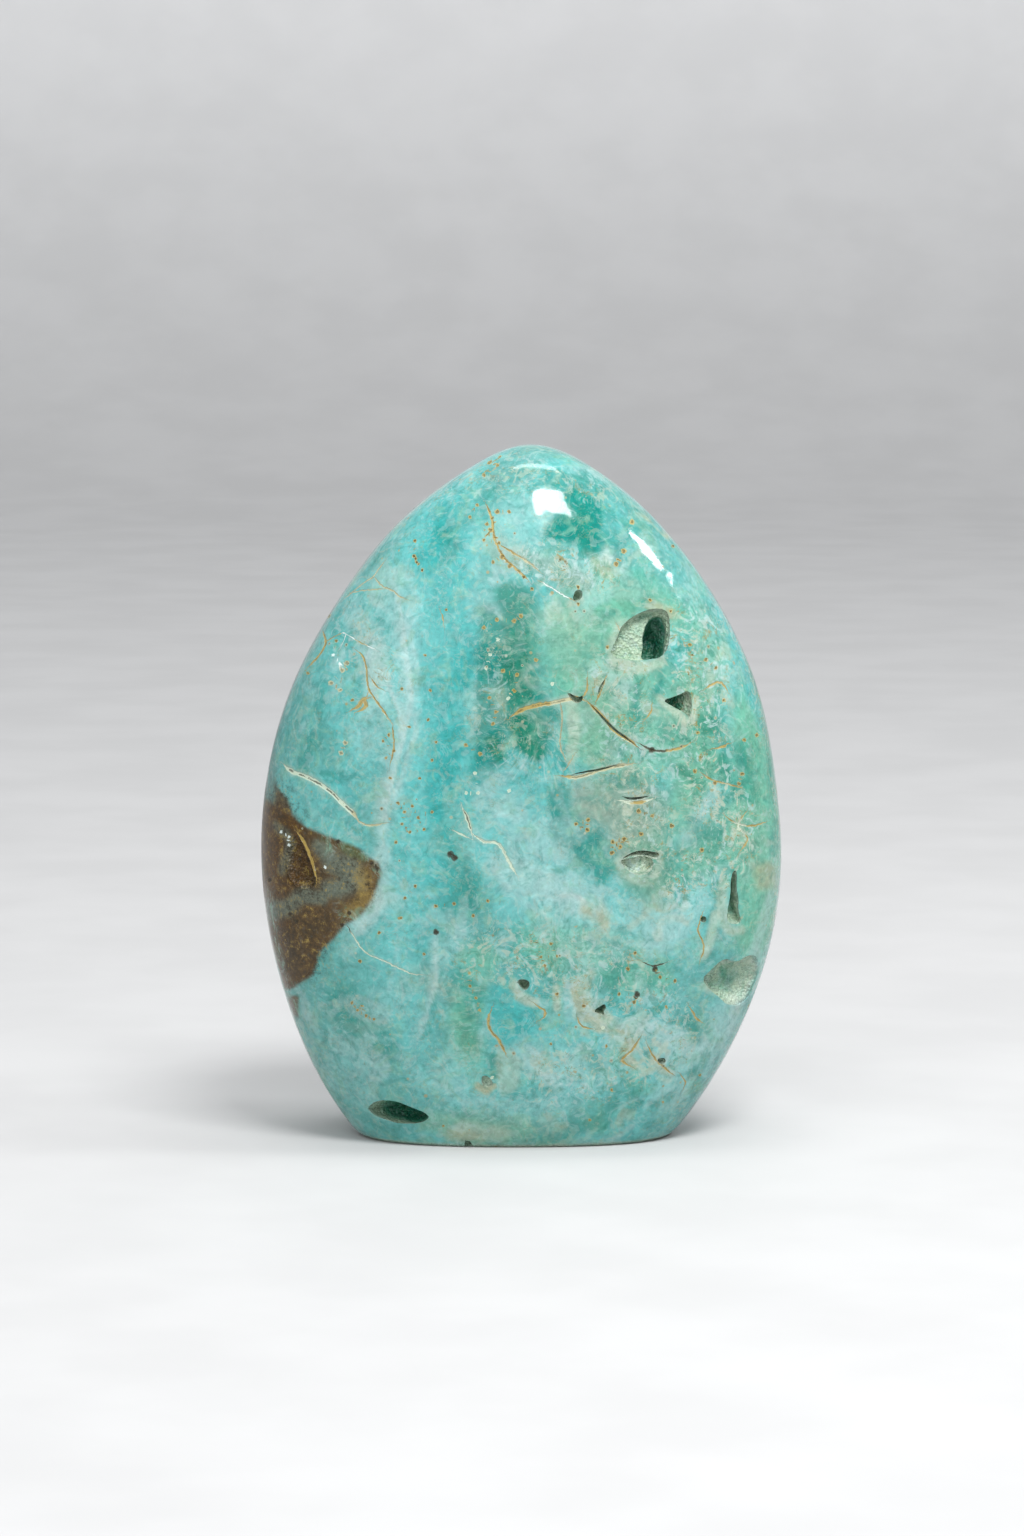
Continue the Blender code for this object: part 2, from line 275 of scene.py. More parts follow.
def rough_noise(points, size, seed, octaves=3):
    total = sum(noise(points, size / 2**i, seed + i) / 2**i for i in range(octaves))
    return total / (2 - 2 ** (1 - octaves))


def smooth(value, low, high):
    t = np.clip((value - low) / (high - low), 0, 1)
    return t * t * (3 - 2 * t)


class Hollow(NamedTuple):
    """An open vug or pit. Its rim is drawn as (across, height), as seen from one side."""

    name: str
    seen_from: float  # degrees round from the front: 90 is the right side, 180 the back
    rim: tuple
    depth: float
    lean: tuple = (0.0, 0.0)  # where the floor lies from the rim's middle, per depth
    floor: float = 0.5  # width of the floor, as a share of the rim's
    belly: float = 1.6  # higher keeps the walls steep for longer
    crag: float = 0.25  # how far the walls wander


class Crack(NamedTuple):
    """A narrow open crack along a line of (across, height)."""

    name: str
    side: int
    line: tuple
    width: float
    depth: float


SHELVES = (
    Hollow(
        "vug_upper_right_shelf", 0,
        ((12.3, 71.3), (13.0, 72.8), (13.6, 74.2), (14.0, 75.2), (15.3, 76.4), (17.5, 77.4), (19.4, 77.6),
         (20.8, 77.0), (21.0, 74.2), (20.7, 72.0), (19.8, 70.8), (17.0, 70.4), (14.6, 70.5)),
        1.4, (0.1, 0.0), 0.88, 3.0, 0.2,
    ),
    Hollow(
        "vug_middle_shelf", 0,
        ((13.7, 42.3), (15.2, 42.6), (17.0, 42.9), (18.8, 42.2), (18.3, 40.3), (16.2, 39.9), (14.6, 41.0)),
        0.9, (0.0, 0.4), 0.75, 2.0, 0.15,
    ),
    Hollow(
        "basin_right_edge", 50,
        ((6.2, 24.7), (7.4, 25.9), (8.7, 27.2), (9.9, 27.4), (11.4, 26.6), (13.6, 27.6), (16.0, 27.0),
         (17.6, 24.4), (16.6, 21.0), (14.0, 19.9), (11.3, 20.2), (9.6, 21.6), (7.6, 23.0)),
        1.9, (-1.5, 0.2), 0.40, 1.8, 0.25,
    ),
    Hollow(
        "dimple_brown", -35,
        ((-19.6, 45.6), (-17.9, 42.8), (-16.7, 40.3), (-16.4, 38.0), (-18.3, 36.9), (-21.0, 37.8),
         (-22.2, 40.5), (-21.6, 43.5)),
        1.5, (0.5, 0.0), 0.40, 1.2, 0.10,
    ),
    Hollow(
        "dimple_near_foot", 0,
        ((-5.8, 11.1), (-4.9, 11.1), (-4.0, 10.1), (-4.4, 9.2), (-5.7, 9.4)),
        0.9, (0.0, 0.1), 0.5, 1.4, 0.08,
    ),
)

DEEP_HOLLOWS = (
    Hollow(
        "vug_upper_right", 0,
        ((17.0, 70.9), (17.2, 72.4), (17.3, 74.2), (18.0, 76.6), (19.4, 77.4), (20.6, 77.0), (20.9, 74.2),
         (20.6, 72.2), (19.9, 71.0), (18.9, 70.5)),
        5.0, (0.10, -0.30), 0.55, 2.2, 0.18,
    ),
    Hollow(
        "vug_triangle", 0,
        ((19.8, 64.8), (21.8, 65.3), (23.8, 66.2), (24.1, 64.1), (24.0, 62.0), (22.9, 63.0), (21.2, 63.9)),
        2.6, (-0.30, 0.0), 0.55, 1.6, 0.16,
    ),
    Hollow(
        "vug_middle", 0,
        ((13.9, 42.4), (15.3, 43.3), (16.7, 43.7), (18.2, 43.5), (19.6, 43.2), (19.1, 42.2), (18.0, 42.4),
         (16.6, 42.8), (15.2, 42.7)),
        2.8, (0.10, 0.55), 0.45, 1.6, 0.12,
    ),
    Hollow(
        "vug_right_slot", 12,
        ((26.7, 40.2), (27.4, 40.2), (27.3, 37.6), (27.8, 35.8), (27.6, 34.5), (28.5, 32.2),
         (26.2, 32.4), (25.8, 33.8), (26.4, 37.0), (26.3, 38.6)),
        2.8, (0.20, -0.05), 0.45, 1.6, 0.14,
    ),
    Hollow(
        "vug_lower_left", -22,
        ((-16.9, 5.4), (-15.0, 6.8), (-12.1, 6.9), (-10.2, 6.2), (-7.2, 5.0), (-8.0, 3.9),
         (-10.1, 3.4), (-12.4, 3.4), (-14.4, 3.8), (-16.4, 4.6)),
        4.4, (0.0, -0.45), 0.55, 2.0, 0.16,
    ),
    Hollow(
        "pit_below_tip", 0, ((7.1, 79.2), (7.6, 80.5), (8.6, 80.3), (8.5, 79.2), (7.6, 78.7)),
        1.6, crag=0.08,
    ),
    Hollow(
        "notch", 0, ((6.2, 66.1), (7.0, 65.9), (7.9, 65.3), (8.7, 65.8), (8.4, 64.6), (7.3, 64.6)),
        1.3, (0.3, 0.0), crag=0.08,
    ),
    Hollow(
        "pit_low_middle", 0,
        ((-0.8, 25.0), (-0.1, 25.4), (1.1, 25.1), (1.1, 24.2), (0.4, 23.5), (-0.3, 24.2)),
        1.9, (0.1, -0.2), crag=0.10,
    ),
    Hollow(
        "pit_low_right", 0,
        ((10.1, 20.6), (11.0, 21.2), (11.8, 21.7), (12.0, 21.0), (11.6, 20.5), (11.8, 19.7), (11.1, 20.0)),
        1.9, (0.1, 0.0), crag=0.08,
    ),
    Hollow(
        "pit_right_shoulder", 0, ((25.4, 33.9), (26.2, 33.8), (26.3, 32.9), (25.4, 32.8)),
        1.2, (0.0, 0.2), crag=0.06,
    ),
    Hollow(
        "pit_near_foot", 0, ((19.2, 13.1), (20.3, 13.3), (20.7, 12.6), (19.9, 11.9)),
        1.1, (0.2, 0.1), crag=0.06,
    ),
    Hollow(
        "back_vug_upper", 180,
        ((5.0, 66.0), (6.4, 69.2), (9.6, 70.4), (12.0, 68.4), (11.2, 65.0), (8.6, 62.8), (6.0, 63.6)),
        4.2, (0.15, 0.2), 0.5, 1.8, 0.25,
    ),
    Hollow(
        "back_vug_side", 215,
        ((13.4, 45.8), (15.2, 47.6), (17.0, 45.0), (17.4, 41.2), (16.2, 38.4), (14.4, 39.6), (13.6, 42.6)),
        2.8, (0.1, 0.0), 0.5, 1.8, 0.2,
    ),
    Hollow(
        "back_vug_low", 180,
        ((-19.6, 21.4), (-16.6, 24.0), (-13.0, 23.8), (-11.4, 21.0), (-14.0, 19.0), (-17.8, 18.8)),
        3.2, (0.0, -0.2), 0.5, 1.8, 0.2,
    ),
    Hollow(
        "back_pit_middle", 180,
        ((-6.4, 44.6), (-5.2, 46.0), (-3.8, 45.0), (-4.4, 43.4), (-5.8, 43.2)), 1.7,
        crag=0.1,
    ),
    Hollow(
        "back_pit_tip", 180, ((-4.2, 83.6), (-2.9, 84.6), (-1.7, 83.4), (-2.6, 82.0), (-3.8, 82.2)), 1.5,
        crag=0.1,
    ),
)

CRACKS = (
    Crack(
        "crack_upper", FRONT, ((9.6, 64.6), (11.1, 62.9), (13.1, 60.7), (14.7, 59.6), (16.2, 58.5)),
        0.5, 0.9,
    ),
    Crack("crack_middle", FRONT, ((6.6, 54.4), (9.0, 54.9), (11.2, 55.3), (14.0, 55.9)), 0.4, 0.7),
    Crack("slot_middle", FRONT, ((14.1, 51.4), (15.2, 51.1), (16.7, 51.1), (18.1, 51.4)), 0.5, 0.9),
    Crack("slot_short", FRONT, ((11.6, 67.8), (11.1, 66.7), (10.6, 65.6)), 0.5, 0.6),
    Crack("back_crack", BACK, ((16.0, 57.5), (12.0, 55.8), (8.2, 56.6), (4.0, 55.2)), 0.6, 0.9),
)

# The chip at the front edge of the foot: (across, height) of its corners, and how far in it goes
FOOT_CHIP = ((-8.9, -0.4), (-8.4, 1.3), (-7.4, 1.1), (-6.0, -0.4))
FOOT_CHIP_DEPTH = 1.6

# How finely the stone is modelled: cells of the box it is drawn out from, and where they are halved again
BOX_CELLS = (44, 20, 60)
FINE_FRONT_FROM = -0.5
# How far a plug stands out of the stone, its cells, the first plug's noise, and the softest edge kept sharp
CUTTER_LIFT = 1.2
CUTTER_CELL = 0.34
FIRST_SEED = 100
SMOOTH_UP_TO = math.radians(42)


def deselect_all():
    bpy.ops.object.select_all(action="DESELECT")


def get_points(piece):
    """A piece's vertices in millimetres."""
    flat = np.empty(len(piece.data.vertices) * 3)
    piece.data.vertices.foreach_get("co", flat)
    return flat.reshape(-1, 3) / MM


def set_points(piece, points):
    piece.data.vertices.foreach_set("co", (points * MM).ravel())
    piece.data.update()


def select_in_edit(piece, kind, wanted):
    """In edit mode, selects the vertices, edges or faces for which wanted is true."""
    bpy.ops.mesh.select_all(action="DESELECT")
    bpy.ops.mesh.select_mode(type=kind)
    form = bmesh.from_edit_mesh(piece.data)
    parts = {"VERT": form.verts, "EDGE": form.edges, "FACE": form.faces}[kind]
    for part in parts:
        part.select_set(wanted(part))
    form.select_flush_mode()
    bmesh.update_edit_mesh(piece.data)


def model_form(form):
    """A box, cut into cells that are finer at the front, and drawn out onto the polished surface."""
    deselect_all()
    bpy.ops.mesh.primitive_cube_add(size=2)
    stone = bpy.context.active_object
    stone.name = stone.data.name = PIECE
    bpy.ops.object.mode_set(mode="EDIT")
    for axis, cells in enumerate(BOX_CELLS):
        select_in_edit(
            stone, "EDGE", lambda edge: abs(edge.verts[0].co[axis] - edge.verts[1].co[axis]) > 1.5
        )
        bpy.ops.mesh.subdivide(number_cuts=cells - 1)
    bpy.ops.mesh.select_all(action="SELECT")
    bpy.ops.mesh.subdivide(number_cuts=1)
    select_in_edit(stone, "FACE", lambda face: face.calc_center_median().y < FINE_FRONT_FROM)
    bpy.ops.mesh.subdivide(number_cuts=1)
    bpy.ops.object.mode_set(mode="OBJECT")
    box = get_points(stone) * MM
    reach = np.array((form.half_width, form.half_depth, form.half_height))
    away = np.tan(box * math.pi / 4) * reach
    points = away * form.stretch(away)[:, None]
    points[:, 2] = form.cut_foot(points[:, 2] + HEART_HEIGHT)
    set_points(stone, points)
    return stone


def even_ring(corners, step):
    """Points at even steps round a closed line, with its corners slightly eased."""
    corners = np.array(corners)
    eased = []
    for before, here, after in zip(np.roll(corners, 1, 0), corners, np.roll(corners, -1, 0)):
        eased += [here * 0.75 + before * 0.25, here * 0.75 + after * 0.25]
    eased = np.array(eased)
    lengths = np.linalg.norm(np.roll(eased, -1, 0) - eased, axis=1)
    reached = np.concatenate([[0], np.cumsum(lengths)])
    closed = np.vstack([eased, eased[:1]])
    count = max(int(round(reached[-1] / step)), 8)
    at = np.linspace(0, reached[-1], count, endpoint=False)
    return np.stack([np.interp(at, reached, closed[:, k]) for k in range(closed.shape[1])], 1)


def close_ring():
    """Fills the selected ring of edges and fans the face from its middle."""
    bpy.ops.mesh.edge_face_add()
    bpy.ops.mesh.poke()


def model_hollow(form, hollow, seed):
    """A plug for the vug: a ring laid on its rim, extruded up out of the stone and down to the floor."""
    ring = even_ring(hollow.rim, CUTTER_CELL)
    rim = [seen_point(form, hollow.seen_from, across, height) for across, height in ring]
    middle = sum(rim, Vector()) / len(rim)
    out = Vector()
    for here, after in zip(rim, rim[1:] + rim[:1]):
        out -= (here - middle).cross(after - middle)
    out.normalize()
    sideways, _ = sight(hollow.seen_from)
    lean = sideways * hollow.lean[0] + Vector((0, 0, hollow.lean[1]))
    deselect_all()
    bpy.ops.mesh.primitive_circle_add(vertices=len(rim), radius=MM)
    plug = bpy.context.active_object
    plug.name = plug.data.name = hollow.name
    set_points(plug, np.array(rim))
    bpy.ops.object.mode_set(mode="EDIT")
    bpy.ops.mesh.select_all(action="SELECT")
    bpy.ops.mesh.extrude_edges_move(TRANSFORM_OT_translate={"value": out * CUTTER_LIFT * MM})
    bpy.ops.transform.resize(value=(1.05, 1.05, 1.05), center_override=(middle + out * CUTTER_LIFT) * MM)
    close_ring()
    count = len(rim)
    select_in_edit(plug, "EDGE", lambda edge: all(vertex.index < count for vertex in edge.verts))
    steps = max(int(hollow.depth / CUTTER_CELL), 3)
    size = 1.0
    for step in range(1, steps + 1):
        move = (lean - out) * hollow.depth / steps
        bpy.ops.mesh.extrude_edges_move(TRANSFORM_OT_translate={"value": move * MM})
        wanted = 1 + (hollow.floor - 1) * (step / steps) ** hollow.belly
        centre = (middle + move * step) * MM
        bpy.ops.transform.resize(value=(wanted / size,) * 3, center_override=centre)
        size = wanted
    close_ring()
    bpy.ops.mesh.select_all(action="SELECT")
    bpy.ops.mesh.normals_make_consistent(inside=False)
    bpy.ops.object.mode_set(mode="OBJECT")
    points = get_points(plug)
    below = smooth(np.maximum(form.depth_below(points), 0), 0.0, 0.8)
    wander = np.stack([rough_noise(points, 1.6, seed + k) for k in (0, 10, 20)], 1)
    points += wander * (below * hollow.crag * 2)[:, None]
    set_points(plug, points)
    return plug


def model_crack(form, crack):
    """A wedge along the crack: a flat strip over the polish whose lower edge is a keel."""
    corners = np.array(crack.line)
    reached = np.concatenate([[0], np.cumsum(np.linalg.norm(np.diff(corners, axis=0), axis=1))])
    at = np.arange(0, reached[-1] + 0.2, 0.4)
    line = np.stack([np.interp(at, reached, corners[:, k]) for k in (0, 1)], 1)
    points = form.on_face(crack.side, line[:, 0], line[:, 1])
    inward = np.array((0.0, -crack.side, 0.0))
    along = np.gradient(points, axis=0)
    beside = np.cross(along, inward)
    beside /= np.linalg.norm(beside, axis=1)[:, None]
    swell = np.sin(np.pi * (np.arange(len(at)) + 0.4) / (len(at) - 0.2))[:, None]
    points = points + beside * (noise(points, 1.3, 5) * 0.12)[:, None]
    half = beside * crack.width / 2 * swell
    rails = (
        points + half * 1.3 - inward * 0.6, points - half * 1.3 - inward * 0.6,
        points - half, points + inward * crack.depth * swell, points + half,
    )
    shape = bmesh.new()
    made = [[shape.verts.new(Vector(point) * MM) for point in rail] for rail in rails]
    for upper, lower in zip(made, made[1:] + made[:1]):
        for i in range(len(at) - 1):
            shape.faces.new((upper[i], upper[i + 1], lower[i + 1], lower[i]))
    for end in (0, -1):
        shape.faces.new([rail[end] for rail in made])
    bmesh.ops.recalc_face_normals(shape, faces=shape.faces)
    mesh = bpy.data.meshes.new(crack.name)
    shape.to_mesh(mesh)
    shape.free()
    wedge = bpy.data.objects.new(crack.name, mesh)
    bpy.context.collection.objects.link(wedge)
    return wedge


def model_chip(form):
    """A wedge that takes a flake off the front edge of the foot."""
    deselect_all()
    front = form.on_face(FRONT, FOOT_CHIP[1][0], FOOT_CHIP[1][1])[1]
    corners = [Vector((across, front - 3, height)) for across, height in FOOT_CHIP]
    bpy.ops.mesh.primitive_circle_add(vertices=len(corners), radius=MM, fill_type="NGON")
    wedge = bpy.context.active_object
    wedge.name = "foot_chip"
    set_points(wedge, np.array(corners))
    bpy.ops.object.mode_set(mode="EDIT")
    bpy.ops.mesh.select_all(action="SELECT")
    bpy.ops.mesh.extrude_region_move(
        TRANSFORM_OT_translate={"value": Vector((0, 3 + FOOT_CHIP_DEPTH, 0)) * MM}
    )
    bpy.ops.transform.resize(value=(0.5, 1, 0.7))
    bpy.ops.mesh.select_all(action="SELECT")
    bpy.ops.mesh.normals_make_consistent(inside=False)
    bpy.ops.object.mode_set(mode="OBJECT")
    return wedge


def open_up(stone, name, plugs):
    """Takes a group of plugs out of the stone, then removes them."""
    deselect_all()
    bpy.context.view_layer.objects.active = stone
    stone.select_set(True)
    group = bpy.data.collections.new(name)
    for plug in plugs:
        group.objects.link(plug)
    modifier = stone.modifiers.new(name, "BOOLEAN")
    modifier.show_viewport = False
    modifier.operation = "DIFFERENCE"
    modifier.solver = "EXACT"
    modifier.operand_type = "COLLECTION"
    modifier.collection = group
    faces = len(stone.data.polygons)
    bpy.ops.object.modifier_apply(modifier=name)
    if len(stone.data.polygons) == faces:
        raise RuntimeError(f"{name} opened nothing")
    for plug in plugs:
        bpy.data.objects.remove(plug)
    bpy.data.collections.remove(group)


class Picture:
    """What the camera sees from one side of the stone, as a picture 1024 points wide and 1536 high."""

    def __init__(self, form, seen_from):
        sideways, inward = sight(seen_from)
        sine, cosine = math.sin(VIEW_ELEVATION), math.cos(VIEW_ELEVATION)
        self.form = form
        self.right = np.array(sideways)
        self.ahead = np.array(inward) * cosine - np.array((0, 0, sine))
        self.up = np.array(inward) * sine + np.array((0, 0, cosine))
        target = np.array(sideways * VIEW_TARGET.x + Vector((0, 0, VIEW_TARGET.z))) / MM
        self.distance = VIEW_DISTANCE / MM
        self.eye = target - self.ahead * self.distance

    def seen(self, points):
        """Where surface points, in millimetres, stand in the picture."""
        away = points - self.eye
        scale = PICTURE_FOCAL / (away @ self.ahead)
        across = PICTURE_WIDTH / 2 + away @ self.right * scale
        down = PICTURE_HEIGHT / 2 - away @ self.up * scale
        return np.stack([across, down], 1)

    def laid(self, places):
        """The surface points under places of the picture. One off the stone goes to its nearest edge."""
        beside = (places[:, :1] - PICTURE_WIDTH / 2) / PICTURE_FOCAL
        above = (PICTURE_HEIGHT / 2 - places[:, 1:2]) / PICTURE_FOCAL
        rays = self.ahead + self.right * beside + self.up * above
        reach = np.linspace(self.distance - LOOK_REACH, self.distance + LOOK_REACH, LOOK_STEPS)
        tried = self.eye + rays[:, None] * reach[:, None]
        below = self.form.depth_below(tried.reshape(-1, 3)).reshape(len(places), -1)
        inside = below > 0
        hit = inside.any(1)
        first = np.where(hit, inside.argmax(1), below.argmax(1))
        far = reach[first]
        near = far - (reach[1] - reach[0])
        for _ in range(LOOK_HALVINGS):
            halfway = (near + far) / 2
            under = self.form.depth_below(self.eye + rays * halfway[:, None]) > 0
            far, near = np.where(under, halfway, far), np.where(under, near, halfway)
        found = np.where(hit, far, reach[first])
        heart = np.array((0.0, 0.0, HEART_HEIGHT))
        away = self.eye + rays * found[:, None] - heart
        points = heart + away * self.form.stretch(away)[:, None]
        points[:, 2] = np.maximum(points[:, 2], 0)
        return points


def eased_line(knots, step):
    """A smooth line through knots, with points about step apart. Widths are carried along."""
    knots = np.array(knots, float)
    if len(knots) == 1:
        return knots
    ends = np.vstack([2 * knots[0] - knots[1], knots, 2 * knots[-1] - knots[-2]])
    made = []
    for before, here, after, later in zip(ends, ends[1:], ends[2:], ends[3:]):
        count = max(int(np.hypot(*(after - here)[:2]) / step), 1)
        t = np.linspace(0, 1, count, endpoint=False)[:, None]
        made.append(
            0.5 * (2 * here + (after - before) * t + (2 * before - 5 * here + 4 * after - later) * t**2
                   + (3 * here - before - 3 * after + later) * t**3)
        )
    return np.vstack(made + [knots[-1:]])


def nearest_on(points, line):
    """The nearest place on a line: the offset from it, distance, how far along, and direction."""
    if len(line) == 1:
        offset = points - line[0]
        zero = np.zeros(len(points))
        return offset, np.linalg.norm(offset, axis=1), zero, np.tile((1.0, 0.0, 0.0), (len(points), 1))
    spans = np.diff(line, axis=0)
    lengths = np.maximum(np.linalg.norm(spans, axis=1), 1e-6)
    starts_at = np.concatenate([[0], np.cumsum(lengths)[:-1]])
    best = np.full(len(points), np.inf)
    offset = np.zeros((len(points), 3))
    along = np.zeros(len(points))
    which = np.zeros(len(points), int)
    for i, (start, span, length) in enumerate(zip(line, spans, lengths)):
        away = points - start
        t = np.clip(away @ span / length**2, 0, 1)
        aside = away - t[:, None] * span
        distance = (aside**2).sum(1)
        closer = distance < best
        best[closer] = distance[closer]
        offset[closer] = aside[closer]
        along[closer] = starts_at[i] + t[closer] * length
        which[closer] = i
    return offset, np.sqrt(best), along, (spans / lengths[:, None])[which]


def polygon_depth(places, corners):
    """How far inside a closed shape of the picture each place is; negative outside."""
    corners = np.array(corners, float)
    inside = np.zeros(len(places), bool)
    nearest = np.full(len(places), np.inf)
    for (ax, ay), (bx, by) in zip(corners, np.roll(corners, -1, 0)):
        crosses = (ay > places[:, 1]) != (by > places[:, 1])
        rise = (by - ay) if by != ay else 1e-9
        inside ^= crosses & (places[:, 0] < (bx - ax) * (places[:, 1] - ay) / rise + ax)
        span = np.array((bx - ax, by - ay))
        away = places - (ax, ay)
        t = np.clip(away @ span / max(span @ span, 1e-9), 0, 1)
        nearest = np.minimum(nearest, np.hypot(*(away - t[:, None] * span).T))
    return np.where(inside, nearest, -nearest)


class Wash(NamedTuple):
    """A stroke of colour. Its line is (x, y, half width in millimetres) in the picture of one side."""

    shade: str
    strength: float
    line: tuple
    edge: float = 0.8  # share of the half width over which it fades out
    ragged: float = 0.35  # how far its edge wanders, as a share of the half width


def rim(shade, strength, *line):
    """A stroke of crust round a vug or a patch, with a steadier edge."""
    return Wash(shade, strength, line, 0.7, 0.4)


class Patch(NamedTuple):
    """A filled shape with a drawn outline of (x, y) in the picture of one side."""

    shade: str
    strength: float
    corners: tuple
    edge: float = 1.0  # millimetres over which it fades at its outline
    ragged: float = 1.0  # millimetres by which its outline wanders


class Veil(NamedTuple):
    """A white wisp, crisp on one side of its line of (x, y) and fading out on the other."""

    shade: str
    strength: float
    line: tuple
    width: float  # millimetres over which it fades, positive to the left of the line's direction


class Vein(NamedTuple):
    """A filled crack or a hairline, drawn finer than the mesh by the material."""

    shade: str
    width: float
    line: tuple
    pores: float = 0.0  # how much of it is broken up by dark pores
    halo: float = 0.0  # how pale the stone is beside it


class Dot(NamedTuple):
    """A speck or a tiny pit: a coloured ring round a dark core."""

    shade: str
    radius: float
    core: float
    places: tuple


class Fibres(NamedTuple):
    """A zone of needles that run along its line, or across it, of (x, y, half width in millimetres)."""

    amount: float
    line: tuple
    across: bool = False


class Tuft(NamedTuple):
    """A fan of needles that spread from a middle."""

    amount: float
    middle: tuple
    inner: float
    outer: float
    start: float = 0.0
    sweep: float = 360.0


class Grain(NamedTuple):
    """A zone where the stone is granular: of brown grains, of tan specks, or of tiny white flecks."""

    kind: str
    amount: float
    line: tuple


# Steps of a stroke and of a fine line, in picture points
STROKE_STEP = 7
FINE_STEP = 4
# In millimetres: the place of a vein or dot that isn't near, how far a vein reaches, how far two veins of
# one layer stay apart, the half width of a vein of width 1, and a drawn dot's radius for one of radius 1
FAR = 9.0
VEIN_REACH = 1.7
VEIN_CLEARANCE = 3.2
VEIN_HALF = 0.36
DOT_SIZE = 0.62
# All the vertices
EVERY = slice(None)


class Painter:
    """Paints one mesh with the layers of each side."""

    def __init__(self, form, points, normals, shades):
        self.form = form
        self.points = points
        self.normals = normals
        self.shades = shades
        self.depth = form.depth_below(points)
        self.coarse = [rough_noise(points, 7.0, seed) for seed in (1, 2, 3)]
        self.fine = [rough_noise(points, 2.2, seed) for seed in (4, 5, 6)]
        self.colour = np.tile(shades["teal"], (len(points), 1))
        self.vein_colour = np.tile(shades["sand"], (len(points), 1))
        self.vein_across = np.full((len(points), 3), FAR)
        self.vein_width = np.zeros((len(points), 3))
        self.vein_look = np.zeros((len(points), 3))
        self.dots = np.tile((FAR, FAR, 0.0), (len(points), 1))
        self.fibre = np.zeros((len(points), 3))
        self.grain = {kind: np.zeros(len(points)) for kind in ("brown", "speck", "fleck")}
        self.drawn = [[], [], []]
        self.count = 0

    def near(self, line, reach):
        """Which vertices lie within reach of a line."""
        low, high = line.min(0) - reach, line.max(0) + reach
        return np.flatnonzero(((self.points > low) & (self.points < high)).all(1))

    def wander(self, which, fine=0.5):
        """The noise that makes a stroke's edge ragged, another one for each stroke."""
        self.count += 1
        coarse = self.coarse[self.count % 3][which]
        return coarse * (1 - fine) + self.fine[(self.count // 3) % 3][which] * fine

    def lay(self, shade, which, amount):
        """Lays a colour over the vertices in which, by 0 to 1."""
        amount = np.clip(amount, 0, 1)[:, None]
        self.colour[which] += (self.shades[shade] - self.colour[which]) * amount

    def stroke_amount(self, picture, knots, edge, ragged):
        """The vertices that a stroke reaches, and how much of it each one takes."""
        knots = eased_line(knots, STROKE_STEP)
        line = picture.laid(knots[:, :2])
        which = self.near(line, knots[:, 2].max() * (1 + ragged) + 0.5)
        _, distance, along, _ = nearest_on(self.points[which], line)
        half = np.full(len(which), knots[0, 2])
        if len(line) > 1:
            reached = np.concatenate([[0], np.cumsum(np.linalg.norm(np.diff(line, axis=0), axis=1))])
            half = np.interp(along, reached, knots[:, 2])
        out = distance / np.maximum(half, 0.05) + self.wander(which) * ragged
        return which, 1 - smooth(out, 1 - edge, 1.0)

    def wash(self, picture, layer):
        which, amount = self.stroke_amount(picture, layer.line, layer.edge, layer.ragged)
        self.lay(layer.shade, which, amount * layer.strength)

    def patch(self, picture, layer):
        corners = np.array(layer.corners, float)
        places = picture.seen(self.points)
        margin = (layer.edge + layer.ragged) * POINTS_PER_MM
        faces = self.normals @ -picture.ahead > 0.2
        low, high = corners.min(0) - margin, corners.max(0) + margin
        which = np.flatnonzero(faces & ((places > low) & (places < high)).all(1))
        inside = polygon_depth(places[which], corners) / POINTS_PER_MM
        inside += self.wander(which, 0.8) * layer.ragged
        self.lay(layer.shade, which, smooth(inside, -layer.edge / 2, layer.edge / 2) * layer.strength)

    def beside(self, which, line):
        """How far some vertices lie from a line, positive on one side of it, and how far along it."""
        offset, distance, along, direction = nearest_on(self.points[which], line)
        side = np.sign((offset * np.cross(direction, self.normals[which])).sum(1))
        return distance * side, along

    def signed(self, picture, knots, reach):
        """The vertices near a fine line and their places beside it, the line's length and the line."""
        line = picture.laid(eased_line(knots, FINE_STEP))
        which = self.near(line, reach)
        across, along = self.beside(which, line)
        length = np.linalg.norm(np.diff(line, axis=0), axis=1).sum()
        return which, across, along, length, line

    def veil(self, picture, layer):
        reach = abs(layer.width) * 1.3 + 0.8
        which, across, along, length, _ = self.signed(picture, layer.line, reach)
        across = -across * math.copysign(1, layer.width) + self.wander(which, 0.4) * 0.5
        ends = smooth(along / length, 0, 0.2) * (1 - smooth(along / length, 0.75, 1))
        fade = np.clip(1 - across / abs(layer.width), 0, 1) ** 1.6 * smooth(across, -0.35, 0.15)
        streak = 0.75 + 0.25 * self.fine[self.count % 3][which]
        self.lay(layer.shade, which, fade * ends * streak * layer.strength * 0.8)

    def free_channel(self, line):
        """The first layer of veins whose lines all keep clear of this one, or else the clearest."""
        clear = [
            min((np.linalg.norm(line[:, None] - other, axis=2).min() for other in lines), default=FAR)
            for lines in self.drawn
        ]
        free = [channel for channel, space in enumerate(clear) if space > VEIN_CLEARANCE]
        return free[0] if free else int(np.argmax(clear))

